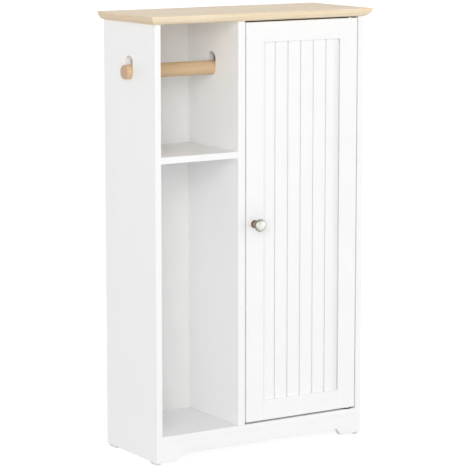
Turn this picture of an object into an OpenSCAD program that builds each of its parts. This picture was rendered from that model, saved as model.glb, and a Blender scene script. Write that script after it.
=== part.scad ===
// Narrow free-standing bathroom cabinet: an open bay with a roll rod on the left, a cupboard on the right.
// Millimetres, +Z up, front towards -Y. The origin is under the middle of the cabinet, on the floor.

/* [Cabinet] */
// Height from the floor to the top surface
total_h = 813; // [740:1:960]
// Width over the two side panels
body_w = 450; // [410:2:560]
// Depth of the side panels
body_d = 185; // [170:1:260]
// Clear width of the open bay
bay_w = 162; // [140:1:190]
// Clear height of the upper bay, above its fixed shelf
roll_bay_h = 235.5; // [190:0.5:260]

/* [Boards] */
// Thickness of the side panels
side_t = 12; // [12:0.5:16]
// Thickness of the divider panel
divider_t = 15; // [15:0.5:18]
// Thickness of the floor board
floor_t = 12; // [12:0.5:16]
// Thickness of the fixed and loose shelves
shelf_t = 12; // [12:0.5:16]
// Thickness of the top board
top_t = 15; // [15:0.5:22]
// Overhang of the top board at its front and both sides
top_overhang = 12; // [10:0.5:20]
// Height of the plain strip along the upper edge of the top board
top_lip_h = 2; // [1:0.25:4]
// How far the moulded edge of the top board bulges past a straight bevel
top_bulge = 2.7; // [1.5:0.1:3.5]
// Thickness of the hardboard back panel
back_t = 3; // [2.5:0.1:4]
// Distance from the rear edge of the side panels to the back panel
back_inset = 9; // [6:0.5:14]
// Depth of the groove that holds the back panel in each side panel
back_groove = 4; // [3:0.25:6]

/* [Plinth and feet] */
// Height of the plinth board
plinth_h = 36; // [32:0.5:60]
// Thickness of the plinth board
plinth_t = 12; // [12:0.5:16]
// Height of the arch under the plinth
arch_h = 12; // [8:0.5:18]
// Width of each bracket foot where it meets the floor side
foot_w = 33; // [30:1:45]
// How far the slanted cut of each foot leans out over the arch
foot_slant = 8.5; // [4:0.5:14]
// Height of the plastic glides under the side panels
glide_t = 4.5; // [3:0.5:8]
// Length of each glide
glide_l = 28; // [20:1:36]
// Width of each glide
glide_w = 11; // [8:0.5:11.5]
// Distance from a glide to the front or rear edge of its side panel
glide_set_in = 2.5; // [1:0.5:10]

/* [Roll rod] */
// Diameter of the wooden rod
rod_d = 26; // [20:0.5:30]
// Play of the rod across its slots
rod_play = 1; // [0.8:0.1:3]
// Height of the two slots
slot_h = 42.5; // [36:0.5:60]
// Distance from the underside of the top board down to the slots
slot_drop = 60; // [50:0.5:80]
// Distance from the front edge of the side panel to the middle of the slots
slot_from_front = 92.5; // [70:0.5:100]
// How far the rod stands out of the left side panel
rod_outside = 11; // [6:0.5:14]
// How far the rod reaches past the divider into the cupboard
rod_past_divider = 8; // [3:0.5:14]
// Bevel round both ends of the rod
rod_bevel = 1.5; // [0.5:0.25:3]

/* [Door] */
// Thickness of the door frame
door_t = 15; // [15:0.5:18]
// Gap at the two sides of the door
door_gap = 2.5; // [2:0.25:4]
// Gap above the door
door_gap_top = 2.7; // [2.6:0.1:5]
// Gap below the door
door_gap_low = 3.5; // [3.2:0.1:5]
// Width of the two stiles
stile_w = 38; // [36:0.5:50]
// Width of the two rails
rail_w = 37; // [34:0.5:55]
// Thickness of the planked door panel
panel_t = 6; // [5:0.25:6.5]
// Distance from the face of the frame back to the panel
panel_recess = 5.5; // [3:0.25:6.5]
// Depth of the frame groove that holds the panel
panel_groove = 8; // [6:0.5:9]
// Nominal width of one plank on the door panel
plank_w = 28; // [20:0.5:45]
// Width of the V groove between two planks
plank_groove_w = 3.2; // [2:0.1:5]
// Depth of the V groove between two planks
plank_groove_d = 2; // [1:0.1:3]
// Clearance that the turning hinge edge of the door keeps from the side panel
pivot_play = 0.4; // [0.3:0.05:0.8]

/* [Knob] */
// How far the knob stands out of the door
knob_reach = 25; // [22:0.5:34]
// Diameter of the knob head
knob_d = 23; // [18:0.5:30]
// Diameter of the knob foot
knob_foot_d = 14.5; // [12.5:0.5:22]
// Distance from the free edge of the door to the knob axis
knob_from_edge = 17; // [14:0.5:22]
// Height of the knob axis above the floor
knob_z = 427; // [330:1:460]

/* [Cupboard shelves] */
// Set-back of the loose shelves behind the front edges
loose_shelf_set_back = 25; // [24:0.5:50]
// Play between a loose shelf and the panel at each end
loose_shelf_play = 1.5; // [1.2:0.1:3]
// Distance between two rows of pin holes
pin_pitch = 32; // [20:1:50]
// Diameter of the shelf pins
pin_d = 5; // [4:0.25:6]

/* [Hidden] */
$fn = 48;

// Cuts run this far past a face so that they open cleanly
past = 1;
// Play of a pin, dowel or screw in its hole, on the radius
fit = 0.05;
// Play between a board and the groove that holds it, on each face
groove_fit = 0.1;
// Gap under a loose or turning piece that rests on another
seat = 0.3;

// Main planes of the cabinet
left_x = -body_w / 2;
right_x = body_w / 2;
inner_left_x = left_x + side_t;
inner_right_x = right_x - side_t;
divider_x = inner_left_x + bay_w;
cupboard_x = divider_x + divider_t;
front_y = (max(knob_reach, top_overhang) - body_d) / 2;
rear_y = front_y + body_d;
back_y = rear_y - back_inset - back_t;
inner_d = back_y - front_y;
middle_y = front_y + inner_d / 2;
side_low = glide_t;
side_top = total_h - top_t;
floor_low = side_low + plinth_h;
floor_top = floor_low + floor_t;
bay_shelf_top = side_top - roll_bay_h;
bay_shelf_low = bay_shelf_top - shelf_t;

// Moulded edge of the top board: one arc from the lip down and in to the side panels
edge_drop = top_t - top_lip_h;
edge_chord = sqrt(pow(top_overhang, 2) + pow(edge_drop, 2));
edge_arc_r = (pow(edge_chord / 2, 2) + pow(top_bulge, 2)) / (2 * top_bulge);
edge_in = edge_arc_r - top_bulge;
edge_centre = [
    top_overhang / 2 + edge_in * edge_drop / edge_chord,
    edge_drop / 2 + edge_in * top_overhang / edge_chord
];

// Roll rod and its slots
slot_w = rod_d + rod_play;
slot_y = front_y + slot_from_front;
slot_top = side_top - slot_drop;
slot_low = slot_top - slot_h;
rod_z = slot_low + seat + rod_d / 2;
rod_left = left_x - rod_outside;
rod_right = cupboard_x + rod_past_divider;

// Door and its pivot axis
door_left = cupboard_x + door_gap;
door_right = inner_right_x - door_gap;
door_low = floor_top + door_gap_low;
door_top = side_top - door_gap_top;
opening_left = door_left + stile_w;
opening_right = door_right - stile_w;
opening_low = door_low + rail_w;
opening_top = door_top - rail_w;
panel_y = front_y + panel_recess;
panel_end_play = 1;
panel_tongue = panel_groove - panel_end_play;
planks = max(2, round((opening_right - opening_left) / plank_w));
plank_pitch = (opening_right - opening_left) / planks;
swing_gap = door_gap - pivot_play;
pivot_inset = (pow(door_t / 2, 2) - pow(swing_gap, 2)) / (2 * swing_gap);
pivot_x = door_right - pivot_inset;
pivot_y = front_y + door_t / 2;
knob_x = door_left + knob_from_edge;

// Pivot hardware
pivot_pin_d = 5;
pivot_pin_depth = 20;
pivot_pin_bevel = 0.6;
pivot_pin_end_play = 1;
bush_d = 8;
bush_l = 9;
bush_flange_d = 14;
bush_flange_t = 1.4;
pivot_collar_d = 10;

// Cam fittings and dowels
cam_d = 12;
cam_edge = 24;
cam_floor = 2.5;
cam_slot_l = 8.6;
cam_slot_w = 1.2;
cam_slot_d = 1.5;
bolt_thread_d = 6;
bolt_thread_l = 9;
bolt_shank_d = 4;
bolt_head_d = 5.6;
bolt_head_l = 3;
bolt_head_past = 1;
bolt_bevel = 1;
bolt_hole_d = 7;
bolt_collar_l = 1.5;
cam_bore_d = 6.2;
dowel_d = 6;
dowel_bevel = 0.8;
dowel_in_edge = 20;
dowel_in_face = 8;
hole_spare = 0.5;
cam_spread = 52;
dowel_spread = 28;
shelf_dowel_spread = 30;

// A joint between two boards: [origin, turn, board thickness, cam offsets, dowel offsets].
// Its local +X points into the board that the bolt screws into and its +Z leaves the face with the cams.
up_left_facing = [0, -90, 0];
up_right_facing = [180, -90, 0];
down_right_facing = [0, 90, 0];
right_under = [180, 0, 0];
left_under = [0, 180, 0];
right_behind = [-90, 0, 0];
left_behind = [90, 0, 180];
up_behind = [-90, -90, 0];
both_cams = [-cam_spread, cam_spread];
both_dowels = [-dowel_spread, dowel_spread];
shelf_dowels = [-shelf_dowel_spread, shelf_dowel_spread];
plinth_mid_z = side_low + plinth_h / 2;
plinth_rear_y = front_y + plinth_t;
plinth_cam_shift = 5;
plinth_dowel_shift = 9;
plinth_dowel_spread = 90;
plinth_dowels = [-plinth_dowel_spread, plinth_dowel_spread];
left_top = [[inner_left_x, middle_y, side_top], up_right_facing, side_t, both_cams, both_dowels];
right_top = [[inner_right_x, middle_y, side_top], up_left_facing, side_t, both_cams, both_dowels];
divider_top = [[cupboard_x, middle_y, side_top], up_right_facing, divider_t, both_cams, both_dowels];
divider_foot = [[cupboard_x, middle_y, floor_top], down_right_facing, divider_t, [], both_dowels];
floor_left = [[inner_left_x, middle_y, floor_low], left_under, floor_t, both_cams, both_dowels];
floor_right = [[inner_right_x, middle_y, floor_low], right_under, floor_t, both_cams, both_dowels];
shelf_left = [[inner_left_x, middle_y, bay_shelf_low], left_under, shelf_t, [0], shelf_dowels];
shelf_right = [[divider_x, middle_y, bay_shelf_low], right_under, shelf_t, [0], shelf_dowels];
plinth_left_end = [inner_left_x, plinth_rear_y, plinth_mid_z];
plinth_right_end = [inner_right_x, plinth_rear_y, plinth_mid_z];
plinth_left = [plinth_left_end, left_behind, plinth_t, [-plinth_cam_shift], [plinth_dowel_shift]];
plinth_right = [plinth_right_end, right_behind, plinth_t, [plinth_cam_shift], [-plinth_dowel_shift]];
plinth_top = [[0, plinth_rear_y, floor_low], up_behind, plinth_t, [], plinth_dowels];
carcass_joints = [
    left_top, right_top, divider_top, divider_foot, floor_left, floor_right, shelf_left, shelf_right,
    plinth_left, plinth_right, plinth_top
];

// Door corner joints, seen from behind the door
door_dowel_spread = 6;
door_dowel_shift = 5;
door_dowel_in_stile = 16;
door_corner_x = [opening_left, opening_right];
door_corner_z = [door_low + rail_w / 2 - door_dowel_shift, door_top - rail_w / 2 + door_dowel_shift];

// Two loose shelves: equal spaces, three rows of pin holes for each shelf
pin_rows = [-1, 0, 1];
pin_r = pin_d / 2;
pin_in_panel = 8;
pin_out = 8;
pin_bevel = 0.5;
pin_collar_t = 1;
pin_collar_d = pin_d + 2;
pin_from_edge = 18;
loose_front_y = front_y + loose_shelf_set_back;
loose_left = cupboard_x + loose_shelf_play;
loose_right = inner_right_x - loose_shelf_play;
loose_rear_play = 1;
loose_rear_y = back_y - loose_rear_play;
pin_ys = [loose_front_y + pin_from_edge, loose_rear_y - pin_from_edge];
space_h = (side_top - floor_top - 2 * shelf_t) / 3;
shelf_lows = [floor_top + space_h, floor_top + 2 * space_h + shelf_t];

// Magnetic catch on the divider, halfway up the top space of the cupboard
catch_z = side_top - space_h / 2;
catch_w = 14;
catch_d = 21;
catch_h = 34;
catch_foot_t = 3;
catch_screw_inset = 6;
catch_body_d = 11;
magnet_w = 9;
magnet_d = 7;
magnet_h = 24;
strike_t = 1.2;
strike_w = 14;
strike_h = 34;
strike_inset = 1;
strike_screw_inset = 5;
catch_y = front_y + door_t + strike_t + seat;
catch_x = cupboard_x;
strike_x = door_left + strike_inset;
catch_screw_y = catch_y + catch_d - catch_screw_inset;
catch_screw_reach = catch_h / 2 - catch_screw_inset;
strike_screw_reach = strike_h / 2 - strike_screw_inset;

// Glides and their nails
glide_ys = [front_y + glide_set_in + glide_l / 2, rear_y - glide_set_in - glide_l / 2];
glide_nail_d = 2;
glide_nail_l = 14;
glide_nail_head_d = 5;
glide_nail_head_t = 0.8;
glide_nail_tip = 2;
glide_recess_d = 6;
glide_dish = 1.6;
glide_step = 1.2;
glide_step_in = 0.8;

// Wall bracket: it runs from the top of the cupboard, through a notch in the back panel, to the wall
bracket_w = 30;
bracket_t = 1.5;
bracket_reach = 24;
bracket_leg_h = 24;
bracket_wall_gap = 0.3;
bracket_from_divider = 21;
bracket_x = cupboard_x + bracket_from_divider + bracket_w / 2;
bracket_rear_y = rear_y - bracket_wall_gap;
bracket_hole_d = 5.5;
bracket_hole_drop = 14;
bracket_screw_spread = 9;
bracket_screw_set = 14;
bracket_notch_play = 1;

// Screws: [shank diameter, head diameter, length under the head plane]
divider_screw = [5, 8, 38];
back_screw = [2.5, 6, 15];
catch_screw = [3, 5.6, 11];
strike_screw = [2.5, 4.8, 10];
bracket_screw = [3.5, 6.6, 11];
knob_bolt = [4, 8.5, 24];
screw_tip_share = 0.8;
screw_cross_share = 0.55;
screw_cross_w = 0.9;
screw_cross_depth = 1;
pan_head_h = 1.8;
pan_head_top_share = 0.32;
pan_head_side_share = 0.4;
divider_screw_ys = [middle_y - cam_spread, middle_y, middle_y + cam_spread];
back_screws = [
    [left_x + body_w / 6, floor_low + floor_t / 2],
    [0, floor_low + floor_t / 2],
    [right_x - body_w / 6, floor_low + floor_t / 2],
    [(inner_left_x + divider_x) / 2, bay_shelf_low + shelf_t / 2],
    [divider_x + divider_t / 2, floor_top + (bay_shelf_low - floor_top) / 3],
    [divider_x + divider_t / 2, floor_top + (bay_shelf_low - floor_top) * 2 / 3],
    [divider_x + divider_t / 2, bay_shelf_top + roll_bay_h / 2]
];

// Knob profile
knob_foot_t = 2.5;
knob_foot_bevel = 1;
knob_neck_d = 8;
knob_neck_flare = 1;
knob_neck_flare_h = 3;
knob_head_t = 10;
knob_head_steps = 10;
knob_head_fullness = 0.75;
knob_bore_l = 11;

// A box from its lowest and highest corners
module block(low, high) {
    translate(low) cube(high - low);
}

// A round bar with square ends, along Z from low to high
module rod_between(d, low, high) {
    translate([0, 0, low]) cylinder(d = d, h = high - low);
}

// A countersunk wood screw: its head lies in the plane z = 0 and its tip points to -Z
module countersunk_screw(s) {
    head_h = (s[1] - s[0]) / 2;
    tip_h = s[0] * screw_tip_share;
    difference() {
        rotate_extrude() polygon([
            [0, 0], [s[1] / 2, 0], [s[0] / 2, -head_h], [s[0] / 2, tip_h - s[2]], [0, -s[2]]
        ]);
        screw_cross(s);
    }
}

// A pan-head screw: the underside of its head lies in the plane z = 0
module pan_screw(s) {
    tip_h = s[0] * screw_tip_share;
    difference() {
        rotate_extrude() polygon([
            [0, pan_head_h], [s[1] * pan_head_top_share, pan_head_h],
            [s[1] / 2, pan_head_h * pan_head_side_share], [s[1] / 2, 0],
            [s[0] / 2, 0], [s[0] / 2, tip_h - s[2]], [0, -s[2]]
        ]);
        translate([0, 0, pan_head_h]) screw_cross(s);
    }
}

// The cross recess of a screw head, cut down from z = 0
module screw_cross(s) {
    reach = s[1] * screw_cross_share / 2;
    for (turn = [0, 90]) {
        rotate([0, 0, turn]) block(
            [-reach, -screw_cross_w / 2, -screw_cross_depth],
            [reach, screw_cross_w / 2, past]
        );
    }
}

// The hole for a screw, with room for a countersunk head
module countersunk_hole(s) {
    head_h = (s[1] - s[0]) / 2;
    rotate_extrude() polygon([
        [0, past], [s[1] / 2 + fit, past], [s[1] / 2 + fit, 0], [s[0] / 2 + fit, -head_h],
        [s[0] / 2 + fit, -s[2] - hole_spare], [0, -s[2] - hole_spare]
    ]);
}

// The straight hole for the shank of a pan-head screw
module pan_hole(s) {
    rod_between(s[0] + 2 * fit, -s[2] - hole_spare, past);
}

// Places its children at each offset along a joint, on the middle plane of the joint's board
module along_joint(joint, offsets) {
    translate(joint[0]) rotate(joint[1]) {
        for (y = offsets) {
            translate([0, y, -joint[2] / 2]) children();
        }
    }
}

// Turned part of the joint: its children's +Z becomes the joint's +X
module towards_mate() {
    rotate([0, 90, 0]) children();
}

// Everything that a joint cuts out of its two boards
module joint_cuts(joint) {
    half = joint[2] / 2;
    along_joint(joint, joint[3]) {
        translate([-cam_edge, 0, 0]) rod_between(cam_d + 2 * fit, cam_floor - half, half + past);
        towards_mate() rod_between(bolt_hole_d, -cam_edge, fit);
        towards_mate() rod_between(bolt_thread_d + 2 * fit, -fit, bolt_thread_l + hole_spare);
    }
    along_joint(joint, joint[4]) {
        towards_mate() rod_between(
            dowel_d + 2 * fit, -dowel_in_edge - hole_spare, dowel_in_face + hole_spare
        );
    }
}

// One cam lock: a drum with a radial bore for the bolt head and a cross slot for the screwdriver
module cam_lock(half) {
    translate([-cam_edge, 0, 0]) difference() {
        rod_between(cam_d, cam_floor - half, half);
        towards_mate() rod_between(cam_bore_d, -bolt_head_l, cam_d);
        for (turn = [45, 135]) {
            rotate([0, 0, turn]) block(
                [-cam_slot_l / 2, -cam_slot_w / 2, half - cam_slot_d],
                [cam_slot_l / 2, cam_slot_w / 2, half + past]
            );
        }
    }
}

// One cam bolt: head in the cam, shank, collar and the thread in the mating board
module cam_bolt() {
    thread_r = bolt_thread_d / 2;
    head_r = bolt_head_d / 2;
    head_end = -cam_edge - bolt_head_past;
    towards_mate() rotate_extrude() polygon([
        [0, head_end], [head_r, head_end], [head_r, bolt_head_l - cam_edge],
        [bolt_shank_d / 2, bolt_head_l - cam_edge], [bolt_shank_d / 2, -bolt_collar_l - bolt_bevel],
        [bolt_hole_d / 2 - fit, -bolt_collar_l], [bolt_hole_d / 2 - fit, -fit], [thread_r, -fit],
        [thread_r, bolt_thread_l - bolt_bevel], [thread_r - bolt_bevel, bolt_thread_l], [0, bolt_thread_l]
    ]);
}

// One wooden dowel with bevelled ends, from -in_edge to in_face along +Z
module dowel(in_edge, in_face) {
    r = dowel_d / 2;
    rotate_extrude() polygon([
        [0, -in_edge], [r - dowel_bevel, -in_edge], [r, dowel_bevel - in_edge], [r, in_face - dowel_bevel],
        [r - dowel_bevel, in_face], [0, in_face]
    ]);
}

// An upright slot with round ends, right through a panel that lies across X
module rod_slot(low_x, high_x) {
    r = slot_w / 2;
    translate([low_x - past, slot_y, 0]) rotate([90, 0, 90]) linear_extrude(high_x - low_x + 2 * past) {
        translate([0, slot_low + r]) circle(r = r);
        translate([0, slot_top - r]) circle(r = r);
        translate([-r, slot_low + r]) square([slot_w, slot_h - slot_w]);
    }
}

// The groove in a side panel that holds one edge of the back panel
module back_panel_groove() {
    block(
        [inner_left_x - back_groove - groove_fit, back_y - groove_fit, floor_low - past],
        [inner_right_x + back_groove + groove_fit, back_y + back_t + groove_fit, side_top + past]
    );
}

// Pin holes in the two panels that face the cupboard
module pin_holes() {
    for (low = shelf_lows, row = pin_rows, y = pin_ys) {
        translate([0, y, low - pin_r - fit + row * pin_pitch]) rotate([0, 90, 0]) {
            rod_between(pin_d + 2 * fit, cupboard_x - pin_in_panel - hole_spare, cupboard_x + past);
            rod_between(pin_d + 2 * fit, inner_right_x - past, inner_right_x + pin_in_panel + hole_spare);
        }
    }
}

// Edge section of the top board, square at the rear: x runs along the depth or width, y is the height
module top_section(length, both_ends) {
    difference() {
        square([length, top_t]);
        moulded_cut();
        if (both_ends) {
            translate([length, 0]) mirror([1, 0]) moulded_cut();
        }
    }
}

// The part that the moulding takes off one lower corner of the top board's section
module moulded_cut() {
    difference() {
        translate([-past, -past]) square([top_overhang + past, edge_drop + past]);
        translate(edge_centre) circle(r = edge_arc_r, $fn = 96);
    }
}

// Moulded top board, flush with the side panels at the rear
module top_board() {
    width = body_w + 2 * top_overhang;
    depth = body_d + top_overhang;
    color("burlywood") difference() {
        intersection() {
            translate([left_x - top_overhang, rear_y, side_top]) rotate([90, 0, 0]) {
                linear_extrude(depth) top_section(width, true);
            }
            translate([left_x - top_overhang, front_y - top_overhang, side_top]) rotate([90, 0, 90]) {
                linear_extrude(width) top_section(depth, false);
            }
        }
        joint_cuts(left_top);
        joint_cuts(right_top);
        joint_cuts(divider_top);
        translate([pivot_x, pivot_y, side_top]) rod_between(bush_d + 2 * fit, -past, bush_l + hole_spare);
        at_bracket_screws() countersunk_hole(bracket_screw);
    }
}

// Left side panel, with the slot that the rod lies in
module left_side_panel() {
    color("white") difference() {
        block([left_x, front_y, side_low], [inner_left_x, rear_y, side_top]);
        rod_slot(left_x, inner_left_x);
        back_panel_groove();
        joint_cuts(left_top);
        joint_cuts(floor_left);
        joint_cuts(shelf_left);
        joint_cuts(plinth_left);
        at_left_glides() rod_between(glide_nail_d + 2 * fit, 0, glide_nail_l + hole_spare);
    }
}

// Right side panel, with pin holes for the loose shelves
module right_side_panel() {
    color("white") difference() {
        block([inner_right_x, front_y, side_low], [right_x, rear_y, side_top]);
        back_panel_groove();
        pin_holes();
        joint_cuts(right_top);
        joint_cuts(floor_right);
        joint_cuts(plinth_right);
        at_right_glides() rod_between(glide_nail_d + 2 * fit, 0, glide_nail_l + hole_spare);
    }
}

// Divider between the open bay and the cupboard
module divider_panel() {
    color("white") difference() {
        block([divider_x, front_y, floor_top], [cupboard_x, back_y, side_top]);
        rod_slot(divider_x, cupboard_x);
        pin_holes();
        joint_cuts(divider_top);
        joint_cuts(divider_foot);
        joint_cuts(shelf_right);
        at_divider_screws() countersunk_hole(divider_screw);
        at_back_screws() pan_hole(back_screw);
        at_catch_screws() pan_hole(catch_screw);
    }
}

// Floor board of the bay and the cupboard
module floor_board() {
    color("white") difference() {
        block([inner_left_x, front_y, floor_low], [inner_right_x, back_y, floor_top]);
        joint_cuts(floor_left);
        joint_cuts(floor_right);
        joint_cuts(divider_foot);
        joint_cuts(plinth_top);
        at_divider_screws() countersunk_hole(divider_screw);
        at_back_screws() pan_hole(back_screw);
        translate([pivot_x, pivot_y, floor_top]) rod_between(bush_d + 2 * fit, -bush_l - hole_spare, past);
    }
}

// Plinth board under the front of the floor board, cut away between two bracket feet
module front_plinth() {
    half = inner_right_x - foot_w;
    color("white") difference() {
        block([inner_left_x, front_y, side_low], [inner_right_x, plinth_rear_y, floor_low]);
        translate([0, plinth_rear_y + past, side_low]) rotate([90, 0, 0]) {
            linear_extrude(plinth_t + 2 * past) polygon([
                [-half, -past], [half, -past], [half, 0], [half - foot_slant, arch_h],
                [foot_slant - half, arch_h], [-half, 0]
            ]);
        }
        joint_cuts(plinth_left);
        joint_cuts(plinth_right);
        joint_cuts(plinth_top);
    }
}

// Hardboard back, held in the grooves of the side panels
module back_panel() {
    color("whitesmoke") difference() {
        block(
            [inner_left_x - back_groove, back_y, floor_low],
            [inner_right_x + back_groove, back_y + back_t, side_top]
        );
        at_back_screws() pan_hole(back_screw);
        bracket_notch();
    }
}

// Fixed shelf between the two halves of the open bay
module bay_shelf() {
    color("white") difference() {
        block([inner_left_x, front_y, bay_shelf_low], [divider_x, back_y, bay_shelf_top]);
        joint_cuts(shelf_left);
        joint_cuts(shelf_right);
        at_back_screws() pan_hole(back_screw);
    }
}

// Loose shelves of the cupboard, each on four pins
module loose_shelf(low) {
    color("white") block([loose_left, loose_front_y, low], [loose_right, loose_rear_y, low + shelf_t]);
}

module lower_loose_shelf() {
    loose_shelf(shelf_lows[0]);
}

module upper_loose_shelf() {
    loose_shelf(shelf_lows[1]);
}

// Shelf pins with a small collar against the panel
module shelf_pins() {
    color("silver") for (low = shelf_lows, y = pin_ys) {
        translate([cupboard_x, y, low - pin_r - fit]) rotate([0, 90, 0]) shelf_pin();
        translate([inner_right_x, y, low - pin_r - fit]) rotate([0, -90, 0]) shelf_pin();
    }
}

// One shelf pin: the panel's face is the plane z = 0 and the peg points to +Z
module shelf_pin() {
    rotate_extrude() polygon([
        [0, -pin_in_panel], [pin_r - pin_bevel, -pin_in_panel], [pin_r, pin_bevel - pin_in_panel],
        [pin_r, 0], [pin_collar_d / 2, 0], [pin_collar_d / 2, pin_collar_t], [pin_r, pin_collar_t],
        [pin_r, pin_out - pin_bevel], [pin_r - pin_bevel, pin_out], [0, pin_out]
    ]);
}

// Cam locks, flush with the faces that they are drilled in
module cam_locks() {
    color("gainsboro") for (joint = carcass_joints) {
        along_joint(joint, joint[3]) cam_lock(joint[2] / 2);
    }
}

// Cam bolts, screwed into the mating boards
module cam_bolts() {
    color("silver") for (joint = carcass_joints) {
        along_joint(joint, joint[3]) cam_bolt();
    }
}

// Wooden dowels that line the carcass boards up
module carcass_dowels() {
    color("tan") for (joint = carcass_joints) {
        along_joint(joint, joint[4]) towards_mate() dowel(dowel_in_edge, dowel_in_face);
    }
}

// Long screws from under the floor board into the divider
module at_divider_screws() {
    for (y = divider_screw_ys) {
        translate([divider_x + divider_t / 2, y, floor_low]) rotate([180, 0, 0]) children();
    }
}

module divider_screws() {
    color("silver") at_divider_screws() countersunk_screw(divider_screw);
}

// Small screws from behind, through the back panel into the boards' rear edges
module at_back_screws() {
    for (place = back_screws) {
        translate([place[0], back_y + back_t, place[1]]) rotate([-90, 0, 0]) children();
    }
}

module back_panel_screws() {
    color("silver") at_back_screws() pan_screw(back_screw);
}

// Places for the glides: the underside of the side panels is the plane z = 0
module at_left_glides() {
    for (y = glide_ys) {
        translate([left_x + side_t / 2, y, side_low]) children();
    }
}

module at_right_glides() {
    for (y = glide_ys) {
        translate([right_x - side_t / 2, y, side_low]) children();
    }
}

// A flat bar with round ends along Y
module obround(length, width) {
    reach = (length - width) / 2;
    translate([0, reach]) circle(d = width);
    translate([0, -reach]) circle(d = width);
    square([width, length - width], center = true);
}

// Moulded plastic glides, one at each end of both side panels
module floor_glides() {
    color("ivory") {
        at_left_glides() glide();
        at_right_glides() glide();
    }
}

module glide() {
    difference() {
        union() {
            translate([0, 0, glide_step - glide_t]) linear_extrude(glide_t - glide_step) {
                obround(glide_l, glide_w);
            }
            translate([0, 0, -glide_t]) linear_extrude(glide_step) {
                obround(glide_l - 2 * glide_step_in, glide_w - 2 * glide_step_in);
            }
        }
        rod_between(glide_nail_d + 2 * fit, -glide_t, past);
        rod_between(glide_recess_d, -glide_t - past, glide_dish - glide_t);
    }
}

// Nails that hold the glides
module glide_nails() {
    color("silver") {
        at_left_glides() glide_nail();
        at_right_glides() glide_nail();
    }
}

module glide_nail() {
    head_high = glide_dish - glide_t;
    head_low = head_high - glide_nail_head_t;
    head_r = glide_nail_head_d / 2;
    rotate_extrude() polygon([
        [0, head_low], [head_r, head_low], [head_r, head_high], [glide_nail_d / 2, head_high],
        [glide_nail_d / 2, glide_nail_l - glide_nail_tip], [0, glide_nail_l]
    ]);
}

// A flanged bush: the flange stands on the board's face, the plane z = 0, and the barrel goes down to -Z
module pivot_bush() {
    difference() {
        union() {
            rod_between(bush_d, -bush_l, fit);
            rod_between(bush_flange_d, 0, bush_flange_t);
        }
        rod_between(pivot_pin_d + 2 * fit, -bush_l - past, bush_flange_t + past);
    }
}

module upper_pivot_bush() {
    color("dimgray") translate([pivot_x, pivot_y, side_top]) rotate([180, 0, 0]) pivot_bush();
}

module lower_pivot_bush() {
    color("dimgray") translate([pivot_x, pivot_y, floor_top]) pivot_bush();
}

// A pivot pin with its collar: the door's edge is the plane z = 0 and the free end points to +Z
module pivot_pin(gap) {
    r = pivot_pin_d / 2;
    collar_t = gap - bush_flange_t - seat;
    free_l = gap + bush_l - pivot_pin_end_play;
    rotate_extrude() polygon([
        [0, -pivot_pin_depth], [r, -pivot_pin_depth], [r, 0], [pivot_collar_d / 2, 0],
        [pivot_collar_d / 2, collar_t], [r, collar_t], [r, free_l - pivot_pin_bevel],
        [r - pivot_pin_bevel, free_l], [0, free_l]
    ]);
}

module upper_pivot_pin() {
    color("silver") translate([pivot_x, pivot_y, door_top]) pivot_pin(door_gap_top);
}

module lower_pivot_pin() {
    color("silver") translate([pivot_x, pivot_y, door_low]) rotate([180, 0, 0]) pivot_pin(door_gap_low);
}

// Catch: a plastic housing screwed to the divider, with a magnet behind its front face
module at_catch_screws() {
    for (z = [catch_z - catch_screw_reach, catch_z + catch_screw_reach]) {
        translate([catch_x + catch_foot_t, catch_screw_y, z]) rotate([0, 90, 0]) children();
    }
}

// The magnet's box, or with play the pocket for it
module magnet_box(front, play) {
    block(
        [catch_x + (catch_w - magnet_w) / 2 - play, front, catch_z - magnet_h / 2 - play],
        [catch_x + (catch_w + magnet_w) / 2 + play, catch_y + magnet_d + play, catch_z + magnet_h / 2 + play]
    );
}

module catch_housing() {
    low = catch_z - catch_h / 2;
    high = catch_z + catch_h / 2;
    color("white") difference() {
        union() {
            block([catch_x, catch_y, low], [catch_x + catch_w, catch_y + catch_body_d, high]);
            block([catch_x, catch_y, low], [catch_x + catch_foot_t, catch_y + catch_d, high]);
        }
        magnet_box(catch_y - past, groove_fit);
        at_catch_screws() pan_hole(catch_screw);
    }
}

module catch_magnet() {
    color("dimgray") magnet_box(catch_y, 0);
}

module catch_screws() {
    color("silver") at_catch_screws() pan_screw(catch_screw);
}

// Steel strike plate on the back of the knob stile, opposite the magnet
module at_strike_screws() {
    for (z = [catch_z - strike_screw_reach, catch_z + strike_screw_reach]) {
        translate([strike_x + strike_w / 2, front_y + door_t + strike_t, z]) rotate([-90, 0, 0]) children();
    }
}

module strike_plate() {
    color("silver") difference() {
        block(
            [strike_x, front_y + door_t, catch_z - strike_h / 2],
            [strike_x + strike_w, front_y + door_t + strike_t, catch_z + strike_h / 2]
        );
        at_strike_screws() countersunk_hole(strike_screw);
    }
}

module strike_screws() {
    color("silver") at_strike_screws() countersunk_screw(strike_screw);
}

// The notch in the upper edge of the back panel that the wall bracket passes through
module bracket_notch() {
    half = bracket_w / 2 + bracket_notch_play;
    block(
        [bracket_x - half, back_y - past, side_top - bracket_leg_h - bracket_notch_play],
        [bracket_x + half, back_y + back_t + past, side_top + past]
    );
}

// Places for the bracket's two screws, up into the top board, and for its hole, towards the wall
module at_bracket_screws() {
    for (side = [-1, 1]) {
        translate([
            bracket_x + side * bracket_screw_spread, back_y - bracket_screw_set, side_top - bracket_t
        ]) rotate([180, 0, 0]) children();
    }
}

module at_bracket_hole() {
    translate([bracket_x, bracket_rear_y, side_top - bracket_hole_drop]) rotate([-90, 0, 0]) children();
}

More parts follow.
